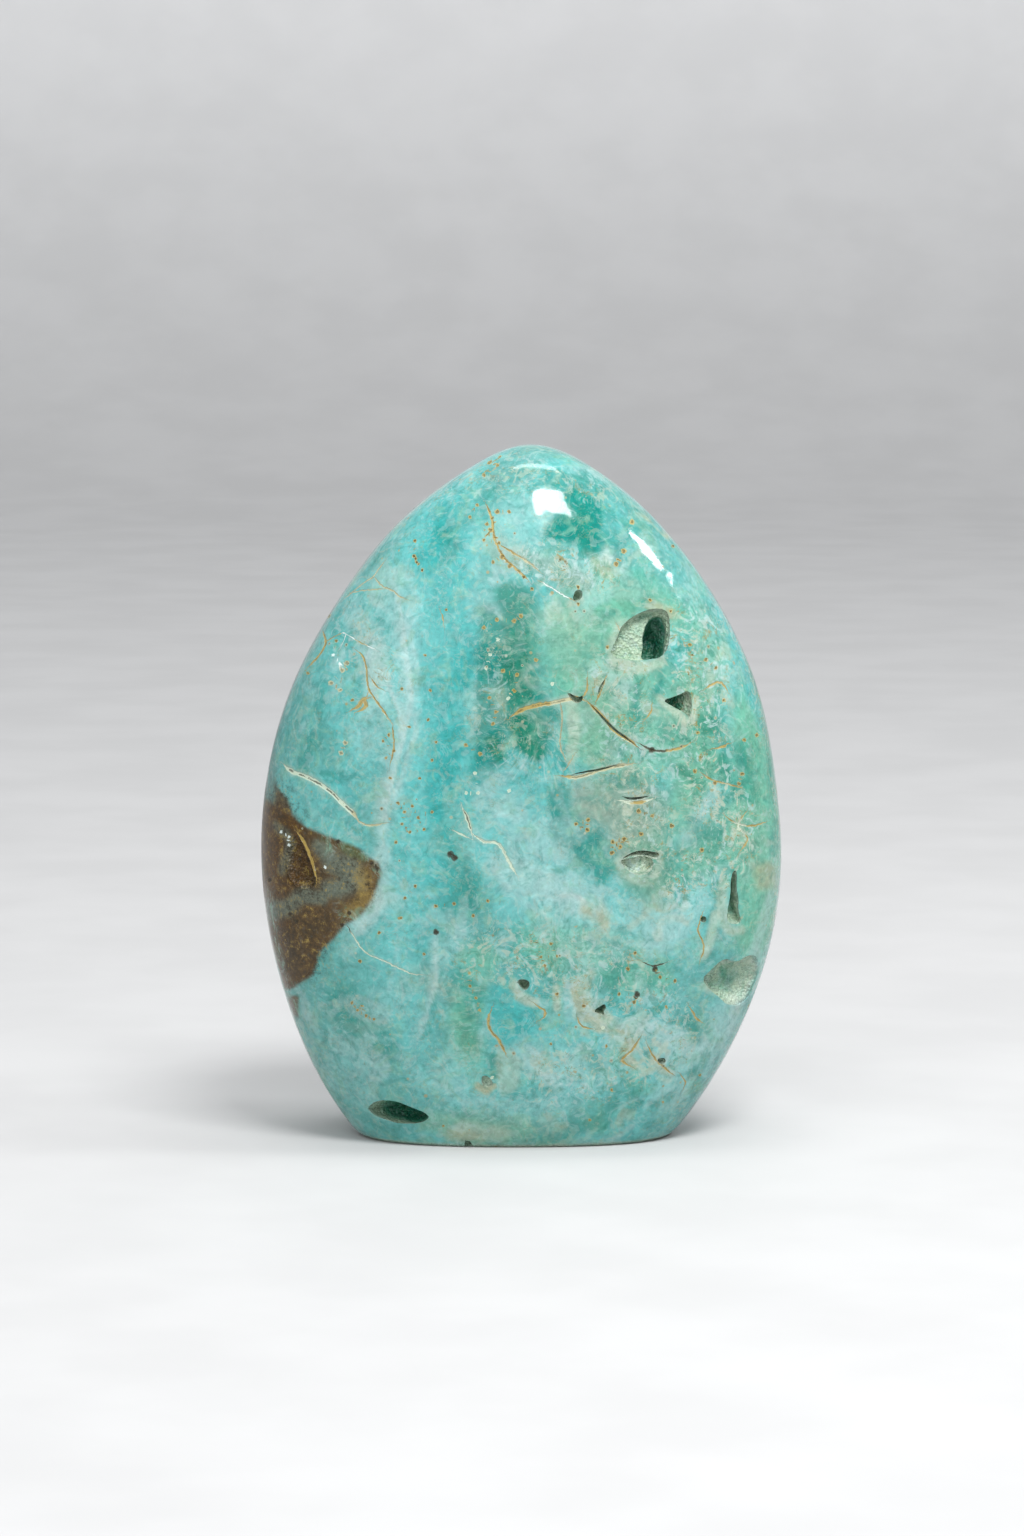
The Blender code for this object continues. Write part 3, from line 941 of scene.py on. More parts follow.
    def vein(self, picture, layer):
        which, across, along, length, line = self.signed(picture, layer.line, VEIN_REACH)
        channel = self.free_channel(line)
        self.drawn[channel].append(line)
        held = np.abs(self.vein_across[which, channel])
        closer = np.abs(across) < held
        which, across, along = which[closer], across[closer], along[closer]
        taper = smooth(along, -0.1, 1.2) * (1 - smooth(along, length - 1.2, length + 0.1))
        taper = np.maximum(taper, 0.35) * (1 - smooth(np.abs(across), 0.9, 1.5))
        self.vein_across[which, channel] = across
        self.vein_width[which, channel] = VEIN_HALF * layer.width * taper
        near = (1 - smooth(np.abs(across), 0.9, 1.6))[:, None]
        self.vein_colour[which] += (self.shades[layer.shade] - self.vein_colour[which]) * (near > 0.2)
        look = np.array((layer.pores, layer.halo, 0.0))
        self.vein_look[which] = np.maximum(self.vein_look[which], look * near)

    def dot(self, picture, layer):
        for place in picture.laid(np.array(layer.places, float)):
            reach = layer.radius * 2.2 + 0.6
            which = self.near(place[None], reach)
            offset = self.points[which] - place
            distance = np.linalg.norm(offset, axis=1)
            held = np.hypot(self.dots[which, 0], self.dots[which, 1])
            closer = (distance < reach) & (distance < held)
            which, offset, distance = which[closer], offset[closer], distance[closer]
            self.dots[which, 0] = offset @ picture.right
            self.dots[which, 1] = offset @ picture.up
            self.dots[which, 2] = DOT_SIZE * layer.radius * (1 - smooth(distance, reach * 0.7, reach))
            self.vein_colour[which] = self.shades[layer.shade]
            self.vein_look[which, 2] = layer.core

    def fibres(self, picture, layer):
        which, amount = self.stroke_amount(picture, layer.line, 0.5, 0.3)
        line = picture.laid(eased_line(layer.line, STROKE_STEP)[:, :2])
        across, along = self.beside(which, line)
        first, second = (along, across) if layer.across else (across, along)
        self.set_fibre(which, first, second, amount * layer.amount)

    def tuft(self, picture, layer):
        middle = picture.laid(np.array((layer.middle,), float))
        which = self.near(middle, layer.outer * 1.2)
        offset = self.points[which] - middle[0]
        beside, above = offset @ picture.right, offset @ picture.up
        radius = np.hypot(beside, above) + self.wander(which) * layer.outer * 0.15
        angle = np.degrees(np.arctan2(above, beside))
        turned = (angle - layer.start) % 360
        amount = smooth(radius, layer.inner * 0.7, layer.inner * 1.2)
        amount *= 1 - smooth(radius, layer.outer * 0.75, layer.outer)
        if layer.sweep < 360:
            amount *= smooth(turned, 0, 12) * (1 - smooth(turned, layer.sweep - 12, layer.sweep))
        ring = np.radians(angle) * (layer.inner + layer.outer) / 2
        self.set_fibre(which, ring, radius, amount * layer.amount)

    def set_fibre(self, which, first, second, amount):
        stronger = amount > self.fibre[which, 2]
        chosen = which[stronger]
        self.fibre[chosen, 0] = first[stronger]
        self.fibre[chosen, 1] = second[stronger]
        self.fibre[chosen, 2] = amount[stronger]

    def grains(self, picture, layer):
        which, amount = self.stroke_amount(picture, layer.line, 0.7, 0.4)
        held = self.grain[layer.kind][which]
        self.grain[layer.kind][which] = np.maximum(held, amount * layer.amount)

    def paint(self, seen_from, layers):
        picture = Picture(self.form, seen_from)
        ways = {
            Wash: self.wash, Patch: self.patch, Veil: self.veil, Vein: self.vein, Dot: self.dot,
            Fibres: self.fibres, Tuft: self.tuft, Grain: self.grains,
        }
        for layer in layers:
            ways[type(layer)](picture, layer)


# The clouds of the front, as (x, y) in its picture. They are curdled before the marks go over them
FRONT_CLOUDS = (
    # Wide bands and clouds
    Wash("teal", 0.9, ((345, 640, 11), (325, 720, 13), (340, 790, 11))),
    Wash("sky", 0.6, ((350, 600, 5), (330, 660, 6), (360, 760, 5), (330, 790, 4))),
    Wash("ice", 0.5, ((385, 575, 4), (375, 640, 5), (385, 690, 4), (370, 740, 4))),
    # Slate along the left rim and the upper left rim: painted shade at the edge.
    Wash("slate", 0.85, ((330, 600, 4), (300, 640, 4), (276, 720, 4), (268, 790, 4))),
    Wash("slate", 0.7, ((400, 510, 4), (360, 555, 4))),
    Wash("sky", 1, ((470, 470, 6), (440, 520, 8), (432, 600, 8), (432, 700, 8), (430, 790, 7),
        (415, 850, 6)), 0.5),
    Wash("cyan", 0.85, ((450, 510, 4), (443, 550, 6), (455, 600, 5), (462, 665, 3.4), (450, 740, 4),
        (436, 810, 3))),
    Wash("teal", 0.75, ((470, 510, 5), (510, 480, 6))),
    Wash("sky", 0.8, ((515, 455, 5), (560, 460, 4))),
    Wash("mint", 0.45, ((600, 475, 3), (640, 510, 3))),
    Wash("deep", 0.9, ((484, 610, 2), (492, 640, 2.6), (492, 690, 2.8), (490, 735, 3.2), (486, 775, 3)),
                       0.6),
    Wash("green", 0.85, ((515, 600, 4), (520, 625, 4), (520, 680, 4), (530, 730, 5.5)), 0.8),
    Wash("sea", 0.95, ((600, 600, 8), (590, 645, 9), (585, 690, 7), (590, 730, 7))),
    Wash("mint", 0.8, ((560, 620, 5), (580, 655, 5), (610, 700, 6), (600, 750, 5))),
    Wash("teal", 0.7, ((610, 480, 6), (650, 530, 7), (700, 590, 6))),
    Wash("sea", 0.6, ((640, 590, 6), (690, 620, 5))),
    Wash("mint", 0.75, ((620, 660, 5), (650, 730, 6), (640, 770, 4))),
    Wash("beige", 0.9, ((590, 800, 5), (630, 810, 6), (640, 850, 7), (650, 890, 4))),
    Wash("mint", 0.7, ((700, 600, 5), (715, 640, 5), (695, 700, 6), (690, 770, 6), (700, 860, 6))),
    Wash("sea", 0.85, ((745, 720, 5), (752, 790, 6), (757, 850, 7), (752, 930, 6))),
    Wash("green", 0.4, ((745, 760, 4), (745, 840, 4))),
    Wash("sky", 0.95, ((510, 800, 6), (525, 850, 10), (560, 900, 10), (640, 925, 8), (690, 930, 6))),
    Wash("ice", 0.5, ((512, 800, 4), (528, 850, 5), (545, 890, 6), (600, 925, 5), (650, 930, 4))),
    Patch(
        "deep", 0.75,
        ((545, 790), (561, 782), (566, 805), (575, 822), (600, 838), (622, 870), (600, 884), (575, 862),
         (556, 846), (548, 820)),
        2, 1.2,
    ),
    Wash("deep", 0.6, ((445, 835, 3), (455, 865, 4), (472, 905, 3.5))),
    Wash("cyan", 0.6, ((500, 770, 4), (470, 800, 4), (440, 850, 4), (430, 900, 5), (425, 940, 5))),
    Wash("sky", 0.6, ((400, 870, 5), (400, 930, 5), (360, 960, 5))),
    Wash("teal", 0.9, ((345, 970, 8), (355, 1040, 10), (420, 1080, 9), (380, 1120, 7))),
    Wash("deep", 0.65, ((345, 1005, 5), (360, 1025, 6), (385, 1045, 4))),
    Wash("sky", 0.65, ((398, 950, 5), (400, 1000, 6), (415, 1040, 4))),
    Wash("ice", 0.5, ((450, 950, 4), (445, 990, 3))),
    Wash("sea", 0.75, ((478, 960, 4), (468, 1000, 4), (468, 1050, 4), (480, 1080, 3))),
    Wash("green", 0.45, ((475, 990, 2.5), (470, 1040, 2.5))),
    Wash("sea", 0.7, ((540, 945, 6), (600, 960, 6), (650, 975, 5))),
    Wash("mint", 0.6, ((555, 950, 3.5), (600, 945, 4))),
    Wash("sky", 0.85, ((505, 1020, 5), (545, 1030, 6), (600, 1035, 6), (650, 1010, 5))),
    Wash("cyan", 0.5, ((512, 1022, 3), (560, 1015, 3))),
    Wash("sky", 0.7, ((430, 1080, 5), (560, 1090, 9), (640, 1090, 8), (690, 1060, 5))),
    Wash("ice", 0.6, ((540, 1060, 5), (600, 1070, 5), (660, 1040, 5))),
    Wash("mint", 0.7, ((520, 1130, 3), (470, 1128, 4), (430, 1122, 3))),
    Wash("ice", 0.75, ((740, 1000, 4), (705, 1040, 6), (670, 1095, 5))),
    Wash("cyan", 0.7, ((722, 622, 2.5), (742, 660, 2.6), (752, 700, 2.4))),
    Wash("sky", 0.6, ((700, 585, 3), (735, 640, 3), (762, 720, 3))),
    # Milky clouds
    Wash("veil", 0.32, ((400, 575, 2.5), (404, 620, 3), (410, 680, 2.5), (405, 730, 2.6), (392, 780, 2.8),
        (384, 830, 2.2)), 0.9),
    Wash("veil", 0.5, ((350, 610, 3), (372, 650, 3), (372, 690, 2))),
    Wash("veil", 0.55, ((336, 665, 1.6), (342, 650, 1.4))),
    Wash("veil", 0.5, ((500, 865, 3), (540, 880, 4), (575, 902, 2.5))),
    Wash("veil", 0.55, ((384, 850, 2), (376, 900, 2.4), (362, 925, 2))),
    Wash("white", 0.55, ((608, 556, 2), (618, 568, 2.2))),
    Wash("veil", 0.5, ((600, 668, 3), (622, 684, 2.4), (618, 704, 1.6))),
    Wash("ice", 0.8, ((716, 790, 2), (704, 812, 2.4), (688, 838, 2))),
    Wash("veil", 0.3, ((640, 905, 3), (668, 925, 4), (650, 950, 3))),
    Wash("beige", 0.3, ((625, 872, 2), (655, 885, 2.4))),
    Wash("veil", 0.5, ((520, 1050, 2.4), (545, 1070, 2.6), (556, 1088, 1.6))),
    Wash("veil", 0.45, ((612, 1035, 2.4), (650, 1030, 2), (700, 1050, 3))),
    Wash("veil", 0.4, ((480, 800, 2), (500, 780, 2), (520, 765, 1.6))),
    Wash("veil", 0.35, ((560, 850, 2), (600, 905, 2))),
    Wash("veil", 0.45, ((650, 1000, 1.6), (640, 985, 1.6))),
)

# The marks of the front, from patches to the finest specks
FRONT_MARKS = (
    # Green, teal and grey patches
    # Slate over the tip: painted shade at the rim.
    Wash("slate", 0.6, ((530, 452, 5), (560, 440, 5), (500, 470, 4))),
    Wash("cyan", 0.45, ((448, 540, 4), (447, 580, 4), (432, 640, 4), (440, 700, 3))),
    Wash("teal", 0.5, ((690, 590, 4), (715, 630, 4), (650, 540, 3))),
    Wash("sea", 0.45, ((590, 640, 4), (710, 722, 4), (640, 880, 3), (740, 835, 3))),
    Wash("deep", 0.3, ((710, 722, 3), (745, 790, 4), (640, 890, 2.4))),
    # These moss washes darken and warm the right half and the band above the foot: partly the stone's olive
    # tint, partly painted shade.
    Wash("moss", 0.15, ((640, 600, 5), (690, 660, 8), (705, 730, 8), (700, 800, 7), (735, 860, 7))),
    Wash("moss", 0.18, ((620, 800, 6), (640, 850, 7), (650, 890, 5), (600, 700, 5))),
    Wash("moss", 0.14, ((470, 1130, 5), (540, 1130, 5), (620, 1110, 5))),
    Patch(
        "deep", 1,
        ((572, 486), (582, 490), (594, 498), (603, 510), (604, 522), (599, 532), (600, 548), (595, 556),
         (590, 548), (578, 543), (560, 542), (548, 538), (546, 530), (560, 512)),
        1.2, 0.7,
    ),
    Wash("deep", 0.8, ((572, 505, 3), (582, 530, 4.5), (560, 530, 3))),
    Wash("green", 0.3, ((580, 518, 3), (586, 540, 2))),
    Wash("deep", 0.55, ((565, 505, 2), (585, 478, 2), (600, 488, 2))),
    Wash("deep", 0.5, ((445, 560, 1.6), (452, 545, 2), (440, 530, 1.6))),
    Wash("beige", 0.6, ((518, 556, 2.2), (540, 564, 2.8), (565, 574, 3), (585, 584, 2))),
    Wash("beige", 0.5, ((500, 545, 2.4), (515, 560, 2.4))),
    Patch("deep", 0.95, ((497, 584), (515, 588), (530, 590), (534, 602), (526, 620), (508, 630),
        (500, 610)), 1.6, 1.2),
    Wash("green", 0.5, ((506, 596, 2), (520, 602, 2.6), (512, 618, 2.4)), 0.8, 0.6),
    Wash("mint", 0.5, ((560, 630, 3), (585, 640, 4), (600, 625, 3))),
    Wash("sea", 0.6, ((740, 812, 2.4), (735, 840, 2.4), (742, 865, 2))),
    Wash("green", 0.55, ((512, 640, 2.6), (516, 680, 3), (530, 730, 5)), 0.9, 0.5),
    Wash("deep", 0.6, ((488, 640, 1.6), (486, 700, 1.8), (490, 760, 2)), 0.7, 0.5),
    Wash("green", 0.9, ((518, 722, 2), (526, 742, 2), (536, 752, 1.8)), 0.6, 0.6),
    Wash("green", 0.8, ((493, 742, 1.4), (500, 755, 1.6)), 0.6, 0.6),
    Wash("mint", 0.7, ((507, 746, 0.9), (514, 738, 0.9)), 0.6),
    Wash("deep", 0.7, ((540, 700, 1.6), (552, 716, 1.6)), 0.7, 0.6),
    Wash("cream", 0.55, ((571, 700, 1.2), (574, 730, 1.3), (570, 760, 1.1)), 0.6, 0.5),
    Wash("green", 0.5, ((700, 722, 1.6), (716, 727, 1.6)), 0.6),
    Wash("green", 0.6, ((722, 758, 1.4), (726, 780, 1.3)), 0.7, 0.7),
    Wash("green", 0.6, ((680, 770, 1.4), (694, 782, 1.4)), 0.7, 0.7),
    Wash("deep", 0.55, ((638, 686, 0.9), (637, 704, 0.9)), 0.7),
    Wash("deep", 0.55, ((652, 700, 0.9), (662, 680, 0.8)), 0.7),
    Wash("deep", 0.5, ((690, 1024, 1.8), (698, 1040, 1.4))),
    Wash("deep", 0.5, ((694, 1070, 1.4),)),
    Wash("deep", 0.5, ((310, 745, 2.4), (300, 770, 2))),
    Wash("deep", 0.4, ((322, 690, 2), (318, 710, 2))),
    Wash("deep", 0.45, ((588, 1050, 1.6), (596, 1066, 1.6))),
    Wash("deep", 0.45, ((655, 965, 1.6), (650, 985, 1.3))),
    Wash("green", 0.5, ((495, 1060, 1.6), (497, 1072, 1.2)), 0.5),
    Patch("cyan", 0.6, ((490, 1008), (512, 1004), (534, 1014), (530, 1034), (505, 1042), (490, 1030)),
                        0.8, 0.8),
    Patch("cream", 0.45, ((498, 1050), (512, 1048), (524, 1064), (520, 1090), (502, 1096), (496, 1080)),
                          0.8, 0.8),
    Patch("beige", 0.5, ((600, 790), (655, 786), (668, 806), (660, 832), (628, 840), (604, 822)), 2, 1.2),
    Patch("mint", 0.6, ((722, 806), (744, 800), (768, 812), (770, 850), (750, 860), (728, 850)), 1.4, 1.4),
    Patch("sand", 0.6, ((752, 864), (776, 862), (778, 890), (757, 892)), 1.6, 0.8),
    Patch("sea", 0.7, ((756, 892), (778, 890), (770, 950), (745, 955)), 2, 1),
    Wash("cream", 0.5, ((462, 1130, 2), (500, 1136, 2)), 0.7, 0.5),
    Wash("sand", 0.45, ((452, 1135, 1.5), (478, 1139, 1.4)), 0.7, 0.5),
    Wash("cream", 0.25, ((737, 830, 1.4), (752, 842, 1.2)), 0.7, 0.5),
    Wash("cream", 0.6, ((704, 955, 1.2), (712, 935, 1.2), (715, 915, 1)), 0.7, 0.5),
    # Halos round the vugs and their shelves
    rim("cream", 0.75, (614, 662, 1.6), (640, 668, 1.4), (660, 662, 1.1)),
    rim("cream", 0.6, (612, 648, 1.4), (618, 630, 1.1)),
    rim("sand", 0.6, (652, 606, 1.4), (672, 614, 1.2)),
    rim("cream", 0.7, (660, 698, 0.9), (672, 708, 1), (690, 722, 1), (696, 700, 0.9)),
    rim("cream", 0.4, (620, 862, 1), (634, 878, 1.1), (652, 880, 1), (660, 862, 0.8)),
    rim("cream", 0.6, (724, 880, 1), (722, 905, 1.2), (728, 930, 1), (742, 930, 1)),
    rim("cream", 0.7, (514, 984, 0.9), (520, 996, 1.1), (534, 1003, 0.9)),
    rim("cream", 0.75, (592, 1014, 0.9), (600, 1027, 1.3), (610, 1018, 0.8)),
    rim("cream", 0.7, (556, 988, 0.8), (557, 1008, 0.8)),
    rim("cream", 0.6, (652, 1056, 0.9), (662, 1070, 1), (672, 1074, 0.7)),
    rim("cream", 0.6, (580, 600, 0.9), (570, 604, 0.9)),
    Wash("sand", 0.8, ((478, 1086, 0.8), (486, 1091, 0.9), (494, 1086, 0.6)), 0.7, 0.3),
    Wash("sand", 0.6, ((630, 1042, 1), (626, 1056, 1.2), (634, 1066, 0.8)), 0.7, 0.5),
    Wash("moss", 0.15, ((716, 966, 2), (734, 968, 2.2)), 0.8, 0.3),
    Wash("cream", 0.7, ((708, 984, 1.6), (726, 988, 2), (740, 978, 1.6)), 0.8, 0.5),
    Wash("veil", 0.45, ((735, 1015, 2.4), (770, 900, 2), (730, 1030, 2))),
    Wash("ice", 0.35, ((570, 1100, 4), (500, 1110, 3), (430, 1080, 4))),
    # The brown granular patch at the left edge
    Patch(
        "brown", 0.97,
        ((255, 795), (268, 801), (284, 812), (300, 823), (318, 833), (336, 840), (353, 845), (366, 855),
         (379, 862), (381, 872), (378, 884), (371, 900), (360, 917), (346, 924), (334, 938), (320, 954),
         (312, 974), (299, 984), (284, 992), (270, 960), (250, 900)),
        0.6, 0.5,
    ),
    Patch("brown", 0.9, ((284, 996), (298, 996), (298, 1018), (290, 1016)), 0.5, 0.5),
    Wash("smoke", 0.85, ((318, 846, 1.8), (335, 862, 3), (352, 880, 2.8), (330, 890, 2.2)), 0.8, 0.5),
    Wash("smoke", 0.8, ((264, 912, 2), (285, 908, 2), (303, 896, 1.8), (322, 900, 1.4)), 0.7, 0.5),
    Wash("smoke", 0.6, ((275, 825, 1.2), (290, 840, 1.2), (282, 870, 1.4)), 0.8, 0.6),
    Wash("tan", 0.45, ((362, 875, 1.8), (366, 895, 1.8), (350, 912, 1.4)), 0.8, 0.5),
    Wash("moss", 0.4, ((346, 848, 1.2), (364, 858, 1.2)), 0.8, 0.5),
    rim("umber", 0.6, (303, 856, 1), (310, 872, 1.3), (313, 884, 1)),
    Wash("umber", 0.45, ((285, 935, 1.8), (292, 955, 1.8), (280, 975, 1.5)), 0.8, 0.7),
    Wash("umber", 0.35, ((308, 935, 1.5), (325, 925, 1.3)), 0.8, 0.7),
    Vein("tan", 0.6, ((297, 832), (303, 840), (309, 853), (313, 865), (317, 880)), 0.25),
    # White wisps with one crisp side
    Veil("white", 0.75, ((385, 560), (400, 600), (407, 650), (412, 700), (402, 745), (390, 790),
        (384, 840), (383, 880)), -2.6),
    Veil("veil", 0.7, ((405, 615), (413, 640), (419, 668), (420, 700)), -2),
    Veil("white", 0.7, ((375, 668), (384, 680), (391, 696), (398, 720), (400, 745)), 1.4),
    Veil("white", 0.6, ((412, 700), (415, 730), (408, 752), (402, 775), (392, 800), (386, 822)), 1.6),
    Veil("veil", 0.7, ((378, 892), (372, 912), (356, 926)), 1.6),
    Veil("white", 0.75, ((440, 922), (437, 950), (436, 985), (426, 1022), (412, 1053)), -1.8),
    Veil("veil", 0.5, ((398, 930), (392, 970), (386, 1000)), 1.5),
    Veil("veil", 0.6, ((396, 562), (412, 590), (424, 612)), 1.3),
    Veil("veil", 0.5, ((350, 575), (372, 600), (384, 630)), 1.6),
    Veil("white", 0.75, ((552, 897), (566, 893), (582, 897), (590, 903)), -1.3),
    Veil("veil", 0.6, ((490, 852), (505, 880), (530, 905), (560, 918)), -2.2),
    Veil("veil", 0.55, ((561, 782), (566, 806), (574, 822), (590, 834)), -1.6),
    Veil("veil", 0.6, ((596, 884), (610, 889), (622, 899), (638, 897)), -1.4),
    Veil("white", 0.6, ((510, 486), (528, 481), (546, 470)), 0.9),
    Veil("veil", 0.55, ((560, 466), (585, 470), (610, 484)), 1.2),
    Veil("veil", 0.5, ((470, 470), (455, 490), (445, 515)), 1.4),
    Veil("white", 0.65, ((604, 1148), (622, 1134), (640, 1120)), 0.9),
    Veil("white", 0.6, ((616, 1110), (630, 1103), (644, 1096)), 0.8),
    Veil("white", 0.6, ((642, 1110), (650, 1105), (660, 1101)), 0.6),
    Veil("veil", 0.55, ((520, 1040), (536, 1052), (548, 1072), (556, 1092)), -1.4),
    Veil("white", 0.55, ((528, 1062), (544, 1074), (552, 1086)), -0.8),
    Veil("veil", 0.5, ((690, 1035), (712, 1045), (730, 1050)), 1.4),
    Veil("veil", 0.55, ((640, 990), (664, 1000), (690, 1000)), 1.4),
    Veil("veil", 0.5, ((715, 782), (705, 806), (690, 828), (684, 850)), 1.4),
    Veil("veil", 0.55, ((637, 658), (632, 684), (620, 706)), -1.4),
    Veil("white", 0.65, ((543, 668), (532, 668), (527, 677), (533, 686), (545, 688)), -1),
    Veil("veil", 0.6, ((564, 664), (574, 676), (574, 690), (562, 700)), 0.9),
    Veil("veil", 0.45, ((655, 745), (680, 760), (700, 764)), 1.4),
    Veil("veil", 0.4, ((600, 960), (640, 945), (680, 950)), 1.6),
    Veil("veil", 0.45, ((460, 775), (480, 792), (500, 800)), 1.2),
    Veil("white", 0.5, ((476, 792), (490, 780), (506, 776)), 0.7),
    Veil("veil", 0.4, ((300, 650), (290, 690), (285, 730)), 1.4),
    Veil("veil", 0.45, ((345, 1085), (380, 1060), (420, 1060)), 1.6),
    Veil("veil", 0.4, ((470, 1100), (520, 1108), (570, 1100)), 1.8),
    # Cracks filled with cream and brown
    Vein("cream", 0.75, ((284, 765), (291, 771), (304, 776), (320, 784), (332, 793), (340, 801),
        (354, 814), (358, 820)), 0.85, 0.55),
    Vein("sand", 0.35, ((357, 820), (366, 825), (376, 825), (385, 823)), 0.3, 0.3),
    Vein("cream", 0.65, ((463, 808), (469, 823), (472, 834)), 0.9, 0.5),
    Vein("cream", 0.45, ((473, 834), (484, 842), (495, 842), (503, 850), (509, 862), (516, 874)),
                         0.35, 0.5),
    Vein("cream", 0.35, ((453, 830), (461, 834), (470, 838)), 0.2, 0.3),
    Vein("sand", 0.6, ((562, 776), (578, 777), (600, 770), (618, 766), (632, 764)), 0.6, 0.6),
    Vein("tan", 0.35, ((573, 757), (566, 768)), 0.2, 0.3),
    Vein("tan", 0.6, ((588, 702), (601, 715), (615, 731), (626, 738), (638, 747)), 0.5, 0.6),
    Vein("tan", 0.4, ((640, 744), (652, 750), (665, 751), (680, 748), (690, 743)), 0.5, 0.4),
    Vein("tan", 0.7, ((512, 716), (522, 710), (534, 706), (556, 702), (576, 698), (584, 700)), 0.6, 0.5),
    Vein("tan", 0.4, ((606, 677), (600, 692), (596, 702)), 0.5, 0.5),
    Vein("tan", 0.4, ((587, 678), (587, 690), (582, 698)), 0.4, 0.4),
    Vein("cream", 0.6, ((620, 800), (636, 803), (652, 799)), 0.2, 0.6),
    Vein("cream", 0.22, ((347, 925), (356, 940), (365, 952), (384, 961), (410, 973), (422, 975)), 0.2, 0.3),
    Vein("white", 0.22, ((538, 580), (552, 588), (565, 596), (575, 601)), 0.2, 0.5),
    Vein("sand", 0.3, ((385, 561), (378, 570), (373, 577), (362, 584), (355, 590), (345, 598)), 0.5, 0.3),
    Vein("sand", 0.25, ((374, 577), (383, 587), (392, 590), (400, 597), (408, 600)), 0.4, 0.3),
    Vein("sand", 0.2, ((350, 593), (366, 590), (386, 589)), 0.3, 0.2),
    Vein("white", 0.16, ((332, 637), (346, 633), (339, 650)), 0, 0.3),
    Vein("white", 0.16, ((346, 634), (360, 642), (378, 651)), 0, 0.3),
    Vein("tan", 0.5, ((323, 632), (326, 642), (321, 653), (315, 660), (308, 667)), 0.5, 0.3),
    Vein("tan", 0.4, ((326, 641), (334, 637)), 0.2, 0.2),
    Vein("tan", 0.3, ((356, 650), (363, 656), (367, 671), (367, 682), (371, 694), (380, 706), (392, 724)),
                      0.5, 0.35),
    Vein("tan", 0.25, ((370, 676), (376, 686), (383, 690)), 0.2, 0.2),
    Vein("tan", 0.75, ((352, 710), (359, 706), (364, 699), (366, 706), (359, 711)), 0.3, 0.4),
    Vein("sand", 0.25, ((392, 724), (394, 745), (390, 765)), 0.5, 0.2),
    Vein("tan", 0.45, ((491, 1010), (488, 1021), (491, 1031), (498, 1039), (506, 1054)), 0.6, 0.6),
    Vein("tan", 0.3, ((534, 1003), (546, 1013), (540, 1020)), 0.3, 0.5),
    Vein("tan", 0.3, ((578, 1018), (581, 1026), (594, 1029)), 0.3, 0.5),
    Vein("tan", 0.35, ((640, 1037), (632, 1050), (622, 1060), (632, 1067)), 0.4, 0.4),
    Vein("tan", 0.35, ((648, 1046), (656, 1060), (672, 1074)), 0.4, 0.5),
    Vein("tan", 0.3, ((680, 1074), (686, 1083), (683, 1090)), 0.3, 0.3),
    Vein("tan", 0.3, ((689, 1006), (697, 1019), (703, 1023)), 0.3, 0.4),
    Vein("tan", 0.4, ((705, 689), (714, 683), (722, 683), (728, 692)), 0.2, 0.3),
    Vein("tan", 0.35, ((730, 743), (722, 747), (712, 749)), 0.4, 0.3),
    Vein("tan", 0.3, ((652, 704), (651, 712), (645, 719)), 0.2, 0.3),
    Vein("sand", 0.25, ((440, 610), (443, 618), (444, 626)), 0.3, 0.3),
    Vein("tan", 0.4, ((486, 504), (492, 520), (494, 536), (500, 552), (508, 562), (520, 572), (528, 580)),
                      0.7, 0.35),
    Vein("sand", 0.35, ((500, 545), (512, 552), (528, 562), (540, 572)), 0.5, 0.4),
    Vein("tan", 0.3, ((746, 812), (738, 826), (748, 838), (740, 852)), 0.5, 0.5),
    Vein("tan", 0.25, ((724, 815), (734, 822), (750, 826), (766, 822)), 0.5, 0.4),
    Vein("sand", 0.25, ((700, 772), (712, 780), (728, 784), (742, 788)), 0.5, 0.3),
    Vein("tan", 0.25, ((703, 912), (698, 930), (704, 946), (700, 962)), 0.4, 0.5),
    Vein("sand", 0.22, ((616, 622), (622, 636), (618, 650)), 0.2, 0.3),
    Vein("sand", 0.22, ((560, 700), (562, 720), (560, 745), (566, 760)), 0.6, 0.4),
    Vein("cream", 0.2, ((640, 960), (652, 966), (668, 962)), 0.4, 0.3),
    # Specks and tiny pits
    Dot("tan", 0.42, 0.5, ((489, 463), (497, 465), (484, 475), (500, 457), (477, 505), (470, 517),
        (487, 524),
        (484, 540), (499, 543), (493, 562), (509, 512))),
    Dot("tan", 0.6, 0.6, ((497, 512), (491, 530), (502, 557), (510, 566), (624, 551), (616, 564),
        (632, 522))),
    Dot("tan", 0.4, 0.9, ((415, 541), (414, 556), (417, 562), (422, 570), (524, 577), (578, 587),
        (578, 604),
        (532, 589), (673, 546), (671, 611), (650, 600), (607, 647))),
    Dot("tan", 0.45, 0.4, ((497, 620), (484, 628), (514, 621), (521, 616), (503, 671), (517, 675),
        (514, 691),
        (496, 712), (466, 745), (493, 724), (480, 754), (489, 698), (536, 660))),
    Dot("sand", 0.55, 0.5, ((347, 663), (342, 670), (331, 683), (340, 690), (345, 743), (341, 753),
        (329, 616))),
    Dot("tan", 0.35, 0.6, ((383, 741), (389, 735), (409, 727), (394, 751), (386, 758), (390, 778),
        (420, 778),
        (402, 689), (352, 700), (308, 673), (336, 641), (425, 655), (430, 690), (446, 610),
        (436, 742), (428, 720), (432, 760))),
    Dot("cream", 0.4, 0.1, ((508, 698), (509, 791), (478, 793), (466, 793), (475, 773), (552, 684),
        (498, 640),
        (490, 655), (486, 668), (739, 829), (603, 1028), (492, 1078))),
    Dot("tan", 0.5, 0.7, ((639, 811), (652, 816), (641, 834), (624, 839), (620, 847), (613, 842),
        (612, 853),
        (672, 826), (588, 820), (576, 824), (587, 830), (702, 850))),
    Dot("tan", 0.45, 0.6, ((698, 733), (695, 771), (715, 783), (739, 784), (744, 740), (757, 735),
        (742, 774),
